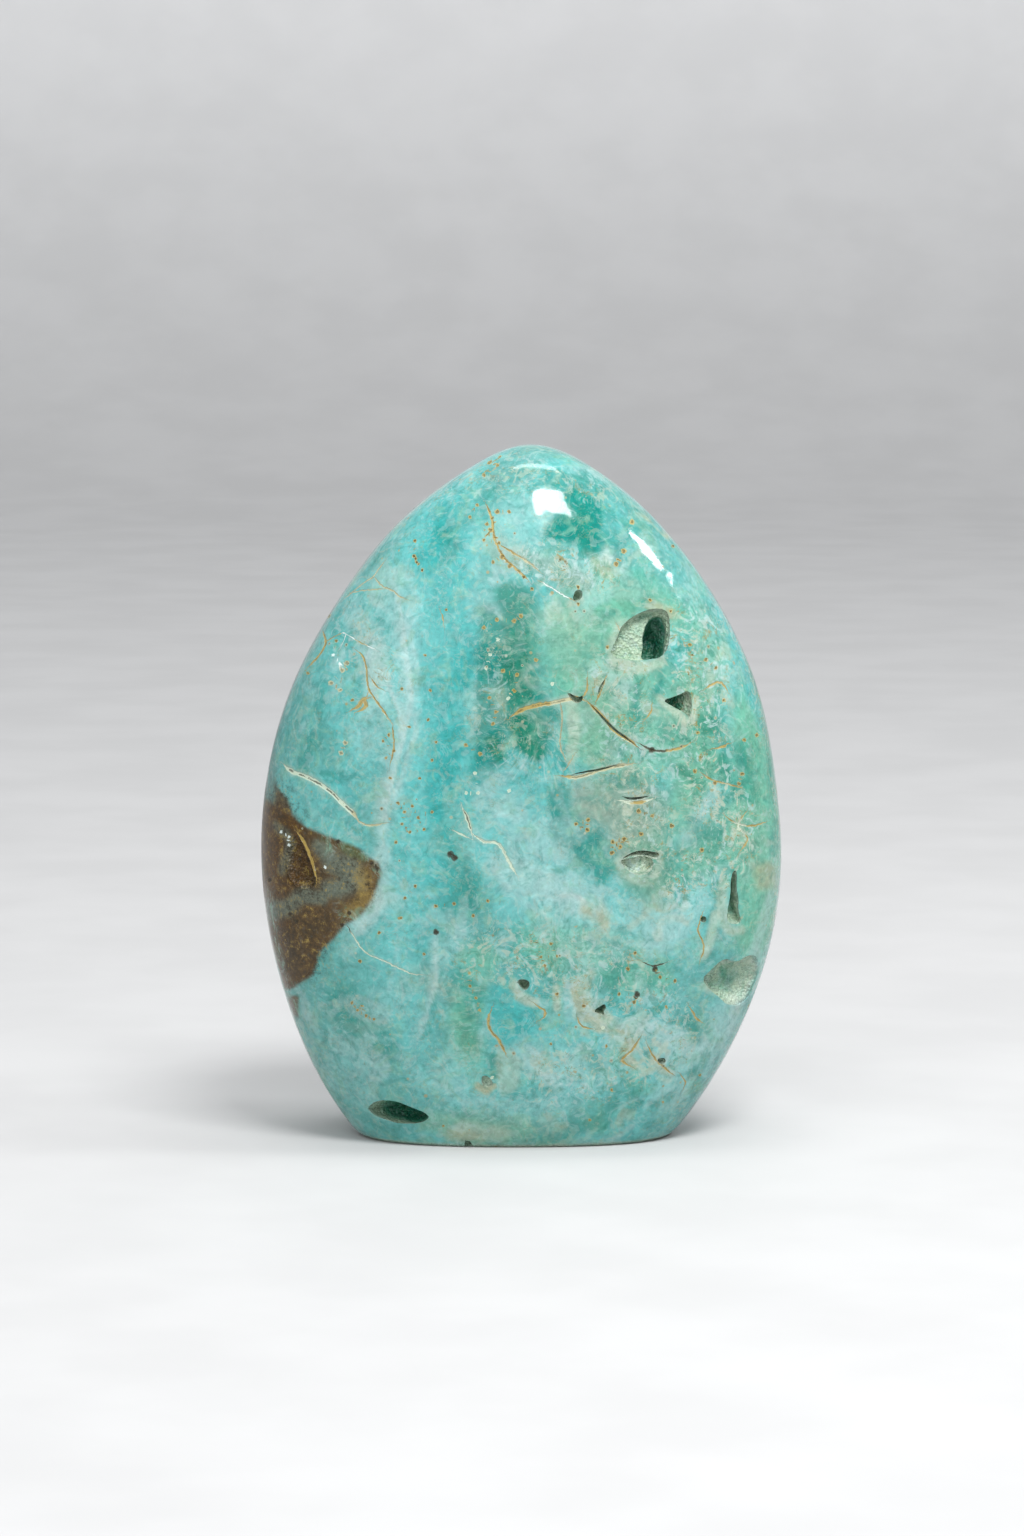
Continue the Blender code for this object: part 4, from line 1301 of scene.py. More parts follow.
        (680, 706), (706, 660), (716, 668), (690, 645), (724, 700))),
    Dot("umber", 0.7, 0.9, ((455, 858), (450, 854), (652, 750), (655, 969), (436, 932), (637, 994))),
    Dot("tan", 0.4, 0.7, ((405, 898), (415, 886), (401, 918), (424, 954), (436, 906), (360, 961),
        (379, 933),
        (473, 916), (488, 901), (454, 904), (469, 973), (635, 953), (628, 969), (634, 1002),
        (619, 994), (666, 1007), (675, 981), (660, 977), (584, 1006), (557, 994))),
    Dot("tan", 0.35, 0.5, ((352, 1003), (358, 1010), (366, 1016), (374, 1019), (362, 1006), (470, 986),
        (476, 998),
        (480, 1010), (551, 944), (557, 956), (541, 957), (545, 966), (663, 1102), (443, 1126),
        (551, 1044), (606, 1046), (700, 1075), (612, 1090), (590, 1120))),
    Dot("tan", 0.35, 0.6, ((398, 803), (404, 812), (412, 806), (418, 818), (402, 824), (424, 829),
        (410, 832),
        (396, 842), (432, 812))),
    Dot("umber", 0.5, 0.9, ((372, 863), (377, 869), (349, 913), (297, 921), (290, 914), (342, 925),
        (270, 880),
        (338, 842), (717, 980), (734, 979), (727, 989))),
    Dot("white", 0.35, 0, ((281, 832), (289, 837), (289, 845), (325, 867), (333, 655), (340, 664))),
    # Needles, fans and granular zones
    Tuft(1, (540, 735), 1.2, 9, 160, 230),
    Tuft(0.8, (553, 948), 1, 6),
    Tuft(0.4, (520, 612), 1.5, 6.5, 150, 250),
    Fibres(0.9, ((520, 556, 2.6), (545, 566, 3.4), (580, 574, 3.4), (600, 582, 2.4)), True),
    Fibres(0.7, ((497, 650, 3.2), (497, 700, 3.2)), True),
    Fibres(0.6, ((515, 640, 3), (520, 680, 3.4)), True),
    Fibres(0.6, ((630, 800, 3.5), (652, 822, 3.2)), True),
    Fibres(0.6, ((472, 985, 3), (470, 1070, 3)), True),
    Fibres(0.35, ((430, 560, 6), (430, 700, 6))),
    Fibres(0.4, ((585, 620, 7), (590, 690, 6)), True),
    Fibres(0.4, ((730, 620, 4), (752, 700, 4))),
    Fibres(0.4, ((600, 720, 5), (600, 760, 5)), True),
    Grain("brown", 1, ((290, 850, 8), (300, 900, 9), (300, 960, 6))),
    Grain("brown", 1, ((350, 875, 5), (360, 890, 4))),
    Grain("speck", 1, ((490, 480, 4), (492, 530, 4), (510, 570, 4), (545, 590, 3))),
    Grain("speck", 0.5, ((505, 640, 4), (505, 700, 4), (480, 760, 4))),
    Grain("speck", 0.6, ((400, 810, 4), (410, 840, 4), (405, 895, 4), (425, 920, 3))),
    Grain("speck", 0.7, ((720, 650, 6), (700, 740, 6), (740, 830, 6), (700, 890, 5), (712, 940, 4))),
    Grain("speck", 0.6, ((640, 830, 6), (600, 830, 4))),
    Grain("speck", 0.5, ((560, 950, 5), (650, 970, 6), (560, 1010, 6))),
    Grain("speck", 0.5, ((362, 1010, 4), (350, 960, 3))),
    Grain("speck", 0.4, ((640, 1060, 6), (680, 1080, 5), (500, 1060, 4))),
    Grain("speck", 0.35, ((350, 660, 6), (340, 740, 5), (425, 700, 4))),
    Grain("fleck", 0.9, ((540, 563, 4), (600, 572, 4))),
    Grain("fleck", 0.35, ((495, 660, 4), (500, 740, 5), (550, 745, 4))),
    Grain("fleck", 0.5, ((350, 620, 6), (380, 680, 5))),
    Grain("fleck", 1, ((700, 640, 7), (700, 760, 7), (740, 840, 6), (690, 880, 6))),
    Grain("fleck", 0.9, ((620, 680, 6), (640, 800, 6), (650, 860, 5))),
    Grain("fleck", 0.7, ((480, 950, 6), (600, 980, 8), (660, 1040, 8), (560, 1080, 7))),
    Grain("fleck", 0.4, ((420, 500, 6), (520, 470, 6), (600, 490, 5))),
)

# The back is a plausible other side of the same stone, drawn in the picture taken from behind
BACK_LAYERS = (
    Wash("sky", 0.8, ((560, 480, 7), (600, 600, 8), (590, 720, 8), (610, 830, 7))),
    Wash("cyan", 0.6, ((585, 560, 4), (575, 660, 4), (585, 760, 4))),
    Wash("sea", 0.8, ((430, 620, 8), (420, 720, 8), (440, 800, 7))),
    Wash("deep", 0.7, ((520, 640, 3), (528, 700, 3.4), (520, 770, 3))),
    Wash("ice", 0.7, ((480, 880, 8), (560, 930, 7), (620, 960, 6))),
    Wash("mint", 0.7, ((380, 820, 7), (370, 900, 6))),
    Wash("teal", 0.7, ((620, 1040, 9), (520, 1080, 9), (420, 1060, 8))),
    Wash("deep", 0.5, ((640, 1010, 5), (600, 1060, 4))),
    Wash("green", 0.6, ((480, 560, 4), (470, 590, 3))),
    Wash("cream", 0.5, ((440, 560, 2), (470, 545, 2), (470, 610, 1.6))),
    Wash("cream", 0.5, ((640, 970, 1.6), (620, 940, 1.4), (590, 948, 1.4))),
    Wash("smoke", 0.8, ((745, 870, 2.4), (756, 900, 2.4)), 0.8, 0.5),
    Veil("white", 0.7, ((625, 540), (612, 620), (618, 700), (604, 780), (612, 860)), 2.4),
    Veil("veil", 0.6, ((560, 600), (548, 680), (560, 760), (552, 830)), -2),
    Veil("white", 0.6, ((420, 900), (470, 950), (480, 1010), (460, 1070)), 2),
    Veil("veil", 0.6, ((360, 640), (380, 700), (372, 760)), 2),
    Veil("veil", 0.5, ((500, 1090), (560, 1100), (620, 1080)), 2),
    Vein("cream", 0.7, ((408, 752), (430, 760), (452, 752), (480, 764), (500, 758)), 0.8, 0.5),
    Vein("tan", 0.35, ((480, 764), (492, 790), (488, 820)), 0.4, 0.4),
    Vein("sand", 0.3, ((620, 640), (640, 660), (650, 690), (668, 700)), 0.4, 0.3),
    Vein("tan", 0.4, ((540, 900), (560, 915), (575, 940), (600, 950)), 0.5, 0.5),
    Vein("white", 0.2, ((450, 640), (480, 650), (500, 670)), 0, 0.4),
    Vein("tan", 0.3, ((700, 640), (690, 670), (700, 700)), 0.4, 0.3),
    Dot("tan", 0.45, 0.7, ((520, 520), (536, 540), (470, 680), (486, 700), (400, 700), (640, 760),
        (655, 742),
        (420, 980), (436, 1002), (580, 1010), (566, 1030), (700, 880), (650, 900))),
    Dot("umber", 0.6, 0.9, ((560, 720), (440, 860), (610, 1000))),
    Dot("cream", 0.5, 0.1, ((500, 600), (512, 612), (460, 930), (640, 820))),
    Tuft(0.9, (500, 720), 1.2, 8, 30, 240),
    Tuft(0.7, (560, 980), 1, 6),
    Fibres(0.6, ((524, 650, 3), (524, 740, 3)), True),
    Grain("brown", 1, ((760, 850, 7), (765, 930, 7))),
    Grain("speck", 0.6, ((480, 640, 6), (470, 740, 6), (420, 830, 6))),
    Grain("speck", 0.5, ((620, 680, 5), (600, 930, 6), (440, 1000, 6))),
    Grain("fleck", 0.6, ((460, 600, 7), (440, 720, 7), (400, 860, 7))),
    Grain("fleck", 0.5, ((600, 800, 7), (560, 940, 8), (500, 1050, 8))),
)

# The brown patch and the veils carry on round the edges, drawn in the pictures taken from either side
LEFT_LAYERS = (
    Wash("brown", 0.97, ((560, 880, 10), (490, 885, 10.5), (430, 900, 8)), 0.12, 0.3),
    Wash("brown", 0.97, ((560, 950, 6), (500, 960, 5)), 0.15, 0.4),
    Wash("brown", 0.9, ((390, 900, 5), (400, 860, 5)), 0.15, 0.5),
    Wash("smoke", 0.8, ((560, 905, 2.4), (510, 895, 2.6), (450, 905, 2.4)), 0.8, 0.5),
    Wash("umber", 0.5, ((520, 930, 2.4), (480, 945, 2.4)), 0.8, 0.6),
    Wash("tan", 0.4, ((470, 850, 2.4), (440, 870, 2)), 0.8, 0.6),
    Grain("brown", 1, ((580, 850, 9), (500, 900, 10), (430, 890, 8))),
    Veil("veil", 0.6, ((520, 620), (505, 680), (515, 740)), 2),
    Vein("cream", 0.45, ((520, 740), (500, 752), (470, 750)), 0.6, 0.4),
    Dot("tan", 0.45, 0.7, ((500, 650), (530, 700), (480, 1040), (540, 1060))),
)

RIGHT_LAYERS = (
    Wash("sea", 0.6, ((500, 700, 6), (510, 800, 7), (505, 880, 6))),
    Wash("cream", 0.5, ((480, 960, 2.4), (520, 950, 2.4)), 0.8, 0.5),
    Veil("veil", 0.6, ((530, 600), (515, 660), (525, 740)), 2),
    Vein("tan", 0.4, ((500, 820), (515, 840), (508, 860), (520, 880)), 0.5, 0.4),
    Dot("tan", 0.45, 0.7, ((520, 640), (500, 720), (530, 760), (490, 1040))),
    Grain("speck", 0.6, ((510, 700, 6), (515, 850, 6))),
    Grain("fleck", 0.6, ((510, 640, 6), (505, 760, 6), (510, 1000, 6))),
)


def marble(painter):
    """The clouds of blue, white and green that run right through the stone."""
    points = painter.points
    bent = points + np.stack([noise(points, 14, seed) for seed in (31, 32, 33)], 1) * 6
    bent[:, 2] *= 0.7
    clouds = rough_noise(bent, 16, 41, 4)
    pale = rough_noise(bent, 9, 51, 4)
    warm = rough_noise(bent, 20, 61, 3)
    fine = rough_noise(points, 3, 71, 3)
    painter.lay("sky", EVERY, smooth(clouds + 0.2 * fine, 0.0, 0.35) * 0.8)
    painter.lay("cyan", EVERY, smooth(-clouds + 0.2 * fine, 0.15, 0.5) * 0.55)
    painter.lay("sea", EVERY, smooth(warm + 0.2 * fine, 0.05, 0.4) * 0.7)
    painter.lay("ice", EVERY, smooth(pale + 0.15 * fine, 0.18, 0.5) * 0.6)
    painter.lay("deep", EVERY, smooth(-pale + 0.25 * fine, 0.35, 0.65) * 0.5)


def curdle(painter):
    """Breaks the clouds up into small patches, milky and dark, with more cream to the right."""
    points = painter.points
    bent = points + np.stack([noise(points, 4, seed) for seed in (131, 132, 133)], 1) * 3
    clear = 1 - smooth(painter.grain["brown"], 0.1, 0.5)
    band = np.abs(points[:, 0] + 13) + 3 * noise(points, 8, 135)
    calm = 1 - 0.6 * (1 - smooth(band, 3, 8)) * smooth(points[:, 2], 30, 45)
    right = smooth(points[:, 0] + 6 * noise(points, 9, 134), -4, 10)
    small = rough_noise(bent, 4.5, 141, 4)
    large = rough_noise(bent, 8.0, 151, 4)
    warm = rough_noise(bent, 5.0, 161, 4)
    painter.lay("deep", EVERY, smooth(-small, 0.22, 0.36) * (0.24 + 0.24 * right) * clear * calm)
    painter.lay("veil", EVERY, smooth(small, 0.20, 0.34) * (0.34 - 0.08 * right) * clear * calm)
    painter.lay("ice", EVERY, smooth(large, 0.22, 0.36) * 0.3 * clear * calm)
    painter.lay("cyan", EVERY, smooth(-large, 0.22, 0.38) * 0.3 * (1 - right) * clear)
    painter.lay("cream", EVERY, smooth(warm, 0.24, 0.36) * (0.16 + 0.28 * right) * clear)
    painter.lay("sand", EVERY, smooth(warm, 0.42, 0.52) * 0.5 * right * clear)
    painter.lay("sea", EVERY, smooth(-warm, 0.2, 0.36) * 0.35 * right * clear)


def line_hollows(painter):
    """Inside the vugs: a pale crust at the rim, then green, and dark at the bottom as painted shade, then
    all of it made brighter the deeper it lies as painted light.
    """
    below = painter.depth
    crust = rough_noise(painter.points, 1.2, 81)
    patches = rough_noise(painter.points, 2.6, 91)
    inside = smooth(below, 0.06, 0.3) * (1 - smooth(painter.grain["brown"], 0.1, 0.5))
    painter.lay("cream", EVERY, inside * (0.8 + 0.2 * crust))
    painter.lay("moss", EVERY, inside * smooth(below + patches * 1.4, 0.5, 1.6) * 0.35)
    painter.lay("green", EVERY, inside * smooth(below + patches * 1.2, 2.0, 3.6) * 0.9)
    # Pine, laid where a vug is deepest, is partly painted shade at its bottom.
    painter.lay("pine", EVERY, inside * smooth(below + patches * 0.9, 3.0, 5.0) * 0.8)
    # Painted light: the lining is made brighter the deeper it lies, so the vugs look lit inside.
    painter.colour *= 1 + (0.45 * inside * smooth(below, 0.2, 1.5))[:, None]


def hold(piece, name, kind, values):
    """Writes one value for each vertex into an attribute that the material reads."""
    layer = piece.data.attributes.new(name, kind, "POINT")
    field = {"FLOAT": "value", "FLOAT_VECTOR": "vector", "FLOAT_COLOR": "color"}[kind]
    layer.data.foreach_set(field, np.ascontiguousarray(values, float).ravel())


def paint_stone(form, stone, sizes, colours):
    """Paints the mesh and keeps what the material reads as attributes."""
    normals = np.empty(len(stone.data.vertices) * 3)
    stone.data.vertices.foreach_get("normal", normals)
    shades = {name: np.array(getattr(colours, name)) for name in StoneColours.__annotations__}
    painter = Painter(form, get_points(stone), normals.reshape(-1, 3), shades)
    marble(painter)
    painter.paint(180, BACK_LAYERS)
    painter.paint(90, RIGHT_LAYERS)
    painter.paint(-90, LEFT_LAYERS)
    painter.paint(0, FRONT_CLOUDS)
    curdle(painter)
    painter.paint(0, FRONT_MARKS)
    line_hollows(painter)
    opaque = np.ones((len(painter.points), 1))
    grey = painter.colour.mean(1, keepdims=True)
    richer = grey + (painter.colour - grey) * sizes.richness
    painted = np.clip(richer * sizes.colour_depth, 0, 1)
    hold(stone, "paint", "FLOAT_COLOR", np.hstack([painted, opaque]))
    hold(stone, "vein_paint", "FLOAT_COLOR", np.hstack([painter.vein_colour, opaque]))
    grain = painter.grain
    vectors = {
        "vein_across": painter.vein_across, "vein_width": painter.vein_width,
        "vein_look": painter.vein_look, "dots": painter.dots, "fibre": painter.fibre,
        "grain": np.stack([grain["brown"], grain["speck"], grain["fleck"]], 1),
    }
    for name, values in vectors.items():
        hold(stone, name, "FLOAT_VECTOR", values)
    hold(stone, "below", "FLOAT", painter.depth)


class Nodes:
    """Short ways to add the nodes of one material."""

    def __init__(self, name):
        self.material = bpy.data.materials.new(name)
        self.material.use_nodes = True
        self.tree = self.material.node_tree
        self.tree.nodes.clear()

    def add(self, kind, inputs=None, **settings):
        node = self.tree.nodes.new(kind)
        for key, value in settings.items():
            setattr(node, key, value)
        for key, value in (inputs or {}).items():
            if isinstance(value, bpy.types.NodeSocket):
                self.tree.links.new(value, node.inputs[key])
            else:
                node.inputs[key].default_value = value
        return node

    def attribute(self, name, output):
        return self.add("ShaderNodeAttribute", attribute_name=name).outputs[output]

    def parts(self, vector):
        return self.add("ShaderNodeSeparateXYZ", {"Vector": vector}).outputs

    def math(self, operation, first, second=0.0, third=0.0):
        return self.add("ShaderNodeMath", {0: first, 1: second, 2: third}, operation=operation).outputs[0]

    def ramp(self, value, low, high, to_low=0.0, to_high=1.0):
        """A smooth step of value between low and high."""
        return self.add(
            "ShaderNodeMapRange",
            {"Value": value, "From Min": low, "From Max": high, "To Min": to_low, "To Max": to_high},
            interpolation_type="SMOOTHSTEP",
        ).outputs["Result"]

    def times(self, first, second):
        return self.math("MULTIPLY", first, second)

    def grey(self, value):
        return self.add("ShaderNodeCombineColor", {0: value, 1: value, 2: value}).outputs[0]

    def mix(self, first, second, amount, way="MIX"):
        return self.add(
            "ShaderNodeMix", {"Factor": amount, 6: first, 7: second}, data_type="RGBA", blend_type=way
        ).outputs[2]

    def noise(self, vector, scale, detail=2.0, rough=0.5, swirl=0.0):
        return self.add(
            "ShaderNodeTexNoise",
            {"Vector": vector, "Scale": scale, "Detail": detail, "Roughness": rough, "Distortion": swirl},
        ).outputs["Fac"]

    def cells(self, vector, scale, output="Distance"):
        return self.add("ShaderNodeTexVoronoi", {"Vector": vector, "Scale": scale}).outputs[output]

    def finish(self, inputs):
        """Ends the material in one shader."""
        shader = self.add("ShaderNodeBsdfPrincipled", inputs)
        output = self.add("ShaderNodeOutputMaterial")
        self.tree.links.new(shader.outputs[0], output.inputs["Surface"])
        return self.material


# The polish, and the shade between needles
STONE_IOR = 1.55
STONE_GLINT = 0.36
NEEDLE_SHADOW = (0.35, 0.62, 0.56, 1)
SHADER_SHADES = ("white", "veil", "mint", "cream", "tan", "umber", "deep", "green")


def cloudy(n, paint, in_mm, shade, fleck, not_brown):
    """The painted clouds, broken up by pale and dark curds, a fine mottle and crystals."""
    cloud = n.noise(in_mm, 0.24, 5, 0.62, 1.6)
    base = n.mix(paint, shade["mint"], n.times(n.ramp(cloud, 0.51, 0.66), n.times(not_brown, 0.5)))
    base = n.mix(base, shade["deep"], n.times(n.ramp(cloud, 0.47, 0.3), n.times(not_brown, 0.4)))
    curds = n.noise(in_mm, 0.38, 4, 0.6, 2.4)
    milky = n.times(n.math("MULTIPLY_ADD", fleck, 0.5, 0.24), not_brown)
    pale = n.mix(shade["veil"], shade["cream"], n.ramp(n.noise(in_mm, 0.2, 2), 0.45, 0.6))
    base = n.mix(base, pale, n.times(n.ramp(curds, 0.53, 0.61), milky))
    shadowy = n.times(n.math("MULTIPLY_ADD", fleck, 0.3, 0.16), not_brown)
    base = n.mix(base, shade["green"], n.times(n.ramp(curds, 0.44, 0.37), shadowy))
    mottle = n.noise(in_mm, 0.7, 4, 0.62, 0.8)
    base = n.mix(base, n.grey(mottle), 0.4, "OVERLAY")
    crystal = n.parts(n.cells(in_mm, 2.2, "Color"))[0]
    base = n.mix(base, n.grey(crystal), 0.1, "SOFT_LIGHT")
    return base


def threaded(n, base, in_mm, shade, fleck, not_brown):
    """A broken web of cream and tan threads with dark pits in them."""
    web, web_core = 0.0, 0.0
    for scale, fine in ((0.2, 0.011), (0.48, 0.022)):
        ridge = n.math("ABSOLUTE", n.math("SUBTRACT", n.noise(in_mm, scale, 5, 0.62, 0.9), 0.5))
        web = n.math("MAXIMUM", web, n.ramp(ridge, fine, fine * 0.4))
        web_core = n.math("MAXIMUM", web_core, n.ramp(ridge, fine * 0.35, fine * 0.1))
    broken = n.times(n.ramp(n.noise(in_mm, 0.3, 4, 0.7), 0.48, 0.58), not_brown)
    shown = n.times(broken, n.math("MULTIPLY_ADD", fleck, 0.6, 0.2))
    web_tone = n.mix(shade["cream"], shade["tan"], n.ramp(n.noise(in_mm, 0.7, 2), 0.46, 0.6))
    base = n.mix(base, web_tone, n.times(web, shown))
    pitted = n.ramp(n.noise(in_mm, 1.1, 3, 0.6), 0.53, 0.6)
    base = n.mix(base, shade["umber"], n.times(n.times(web_core, shown), pitted))
    return base


def needled(n, base, shade):
    """White needles with shadows between them."""
    beside, along, amount = n.parts(n.attribute("fibre", "Vector"))
    streak_place = n.add(
        "ShaderNodeCombineXYZ", {0: n.times(beside, 2.0), 1: n.times(along, 0.3)}
    ).outputs[0]
    streaks = n.noise(streak_place, 1.0, 3, 0.6)
    light_streak = n.times(n.ramp(streaks, 0.55, 0.72), amount)
    dark_streak = n.times(n.ramp(streaks, 0.45, 0.3), amount)
    base = n.mix(base, shade["white"], n.times(light_streak, 0.32))
    base = n.mix(base, NEEDLE_SHADOW, n.times(dark_streak, 0.7), "MULTIPLY")
    return base


def grained(n, base, in_mm, shade, brown):
    """Dark and tan grains over the brown patch."""
    coarse_grain = n.noise(in_mm, 1.0, 6, 0.85)
    grain_dark = n.times(n.ramp(coarse_grain, 0.52, 0.4), brown)
    grain_pale = n.times(n.ramp(coarse_grain, 0.54, 0.62), brown)
    base = n.mix(base, shade["umber"], n.times(grain_dark, 0.85))
    base = n.mix(base, shade["tan"], n.times(grain_pale, 0.8))
    return base


def veined(n, base, in_mm, shade, vein_shade, pores, halo):
    """Filled cracks with pale borders and dark pores. Also gives where they are."""
    across = n.parts(n.attribute("vein_across", "Vector"))
    width = n.parts(n.attribute("vein_width", "Vector"))
    waver = n.math("MULTIPLY_ADD", n.noise(in_mm, 1.6, 3, 0.6), 0.5, -0.25)
    vein, glow, vein_core = 0.0, 0.0, 0.0
    for offset, half in zip(across, width):
        away = n.math("ABSOLUTE", n.math("ADD", offset, waver))
        share = n.math("DIVIDE", away, n.math("MAXIMUM", half, 0.01))
        vein = n.math("MAXIMUM", vein, n.ramp(share, 1.45, 0.8))
        glow = n.math("MAXIMUM", glow, n.ramp(share, 3.6, 0.9))
        vein_core = n.math("MAXIMUM", vein_core, n.ramp(share, 0.6, 0.3))
    open_pore = n.times(n.times(vein_core, pores), n.ramp(n.noise(in_mm, 0.8, 3, 0.6), 0.46, 0.53))
    base = n.mix(base, shade["cream"], n.times(glow, n.times(halo, 0.6)))
    base = n.mix(base, vein_shade, n.times(vein, 0.85))
    base = n.mix(base, shade["umber"], n.times(open_pore, 0.9))
    return base, vein


def dotted(n, base, in_mm, shade, vein_shade, core):
    """Ringed dots with dark cores. Also gives where the rings and the cores are."""
    dot_x, dot_y, dot_radius = n.parts(n.attribute("dots", "Vector"))
    dot_away = n.math("SQRT", n.math("ADD", n.times(dot_x, dot_x), n.times(dot_y, dot_y)))
    dot_away = n.math("ADD", dot_away, n.math("MULTIPLY_ADD", n.noise(in_mm, 2.5, 3, 0.7), 0.7, -0.35))
    dot_share = n.math("DIVIDE", dot_away, n.math("MAXIMUM", dot_radius, 0.01))
    ring = n.ramp(dot_share, 1.2, 0.85)
    heart = n.times(n.ramp(dot_share, 0.65, 0.4), core)
    base = n.mix(base, vein_shade, n.times(ring, 0.8))
    base = n.mix(base, shade["umber"], n.times(heart, 0.85))
    return base, ring, heart


def specked(n, base, in_mm, shade, speck, fleck):
    """Scattered tan and cream specks, and white flecks."""
    spots = n.add("ShaderNodeTexVoronoi", {"Vector": in_mm, "Scale": 0.8})
    chance, size, tone = n.parts(spots.outputs["Color"])
    wanted = n.math("MULTIPLY_ADD", speck, 0.5, 0.035)
    there = n.math("LESS_THAN", chance, wanted)
    spot_radius = n.math("MULTIPLY_ADD", size, 0.17, 0.07)
    spot_share = n.math("DIVIDE", spots.outputs["Distance"], spot_radius)
    spot = n.times(n.ramp(spot_share, 1.25, 0.75), there)
    spot_core = n.times(n.ramp(spot_share, 0.7, 0.35), n.times(there, n.ramp(tone, 0.4, 0.6)))
    base = n.mix(base, n.mix(shade["tan"], shade["cream"], tone), n.times(spot, 0.75))
    base = n.mix(base, shade["umber"], n.times(spot_core, 0.7))
    flecks = n.ramp(n.noise(in_mm, 1.7, 4, 0.62), 0.56, 0.66)
    base = n.mix(base, shade["white"], n.times(flecks, n.math("MULTIPLY_ADD", fleck, 0.22, 0.04)))
    return base


def surfaced(n, in_mm, below, brown, vein, ring, heart):
    """The gloss of the polish, dull in hollows and veins, and the small relief."""
    hollow = n.ramp(below, 0.05, 0.25)
    rough = n.ramp(hollow, 0.0, 1.0, 0.10, 0.5)
    rough = n.math("MAXIMUM", rough, n.ramp(n.math("MAXIMUM", vein, ring), 0.0, 1.0, 0.10, 0.45))
    rough = n.math("MAXIMUM", rough, n.ramp(brown, 0.2, 1.0, 0.10, 0.3))

    swell = n.math("ADD", n.noise(in_mm, 0.09, 2), n.times(n.noise(in_mm, 0.3, 2), 0.16))
    pits = n.math("ADD", n.times(vein, 0.08), n.times(heart, 0.25))
    drusy = n.times(n.cells(in_mm, 2.4), n.times(hollow, 0.3))
    height = n.math("ADD", n.math("MULTIPLY_ADD", swell, 0.5, n.times(pits, -1.0)), drusy)
    bump = n.add("ShaderNodeBump", {"Strength": 1.0, "Distance": MM, "Height": height})
    return rough, bump.outputs["Normal"]


def stone_material(colours, depth):
    """Polished aragonite: the painted clouds with fibres, veins, specks and rough hollows over them."""
    n = Nodes("polished_aragonite")
    place = n.add("ShaderNodeTexCoord").outputs["Object"]
    in_mm = n.add("ShaderNodeVectorMath", {0: place, "Scale": 1 / MM}, operation="SCALE").outputs[0]
    shade = {name: (*(c * depth for c in getattr(colours, name)), 1.0) for name in SHADER_SHADES}
    paint = n.attribute("paint", "Color")
    vein_shade = n.attribute("vein_paint", "Color")
    below = n.attribute("below", "Fac")
    brown, speck, fleck = n.parts(n.attribute("grain", "Vector"))
    pores, halo, core = n.parts(n.attribute("vein_look", "Vector"))
    not_brown = n.ramp(brown, 0.6, 0.1)
    base = cloudy(n, paint, in_mm, shade, fleck, not_brown)
    base = threaded(n, base, in_mm, shade, fleck, not_brown)
    base = needled(n, base, shade)
    base = grained(n, base, in_mm, shade, brown)
    base, vein = veined(n, base, in_mm, shade, vein_shade, pores, halo)
    base, ring, heart = dotted(n, base, in_mm, shade, vein_shade, core)
    base = specked(n, base, in_mm, shade, speck, fleck)
    rough, normal = surfaced(n, in_mm, below, brown, vein, ring, heart)
    return n.finish(
        {"Base Color": base, "Roughness": rough, "IOR": STONE_IOR, "Specular IOR Level": STONE_GLINT,
         "Normal": normal}
    )


def floor_material():
    """A pale matt sheet, lighter up the wall: painted shade on the floor and painted light on the wall."""
    n = Nodes("pale_floor")
    place = n.add("ShaderNodeTexCoord").outputs["Object"]
    height = n.parts(place)[2]
    # Darker on the floor and lighter up the wall: painted shade and painted light on one sheet.
    wall = n.ramp(height, 0.0, 0.3, 0.49, 0.78)
    unevenness = n.ramp(n.noise(place, 30, 3), 0.3, 0.7, 0.0, 0.03)
    tone = n.math("ADD", wall, unevenness)
    return n.finish({"Base Color": n.grey(tone), "Roughness": 0.85})


class STONE_OT_flame(bpy.types.Operator):
    """Model the polished stone, open its vugs and cracks, and paint it"""

    bl_idname = "stone.flame"
    bl_label = "Aragonite flame"

    def execute(self, context):
        sizes = context.scene.stone_sizes
        form = Form(sizes)
        colours = context.scene.stone_colours
        stone = model_form(form)
        hollows = enumerate(SHELVES + DEEP_HOLLOWS, FIRST_SEED)
        plugs = [model_hollow(form, hollow, seed) for seed, hollow in hollows]
        plugs += [model_crack(form, crack) for crack in CRACKS] + [model_chip(form)]
        open_up(stone, "hollows", plugs)
        paint_stone(form, stone, sizes, colours)
        stone.data.materials.clear()
        stone.data.materials.append(stone_material(colours, sizes.colour_depth))
        deselect_all()
        stone.select_set(True)
        context.view_layer.objects.active = stone
        bpy.ops.object.shade_smooth_by_angle(angle=SMOOTH_UP_TO)
        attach(stone, "root")
        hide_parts(NODE)
        return {"FINISHED"}


class STONE_OT_stage(bpy.types.Operator):
    """Set the pale floor, the soft studio light and the camera"""

    bl_idname = "stone.stage"
    bl_label = "Stage"

    def execute(self, context):
        make_floor()
        make_lights(context.scene, Form(context.scene.stone_sizes))
        make_camera(context.scene)
        return {"FINISHED"}


# The sheet, the radius of its sweep and the height of its wall, in metres
FLOOR_SIZE = 2.4
SWEEP_RADIUS = 0.5
WALL_HEIGHT = 1.2
# How far the mirrored lamps hang from the stone, and the light of the room
LAMP_DISTANCE = 0.6
ROOM_LIGHT = (0.95, 0.97, 1.0, 1)
ROOM_STRENGTH = 0.56


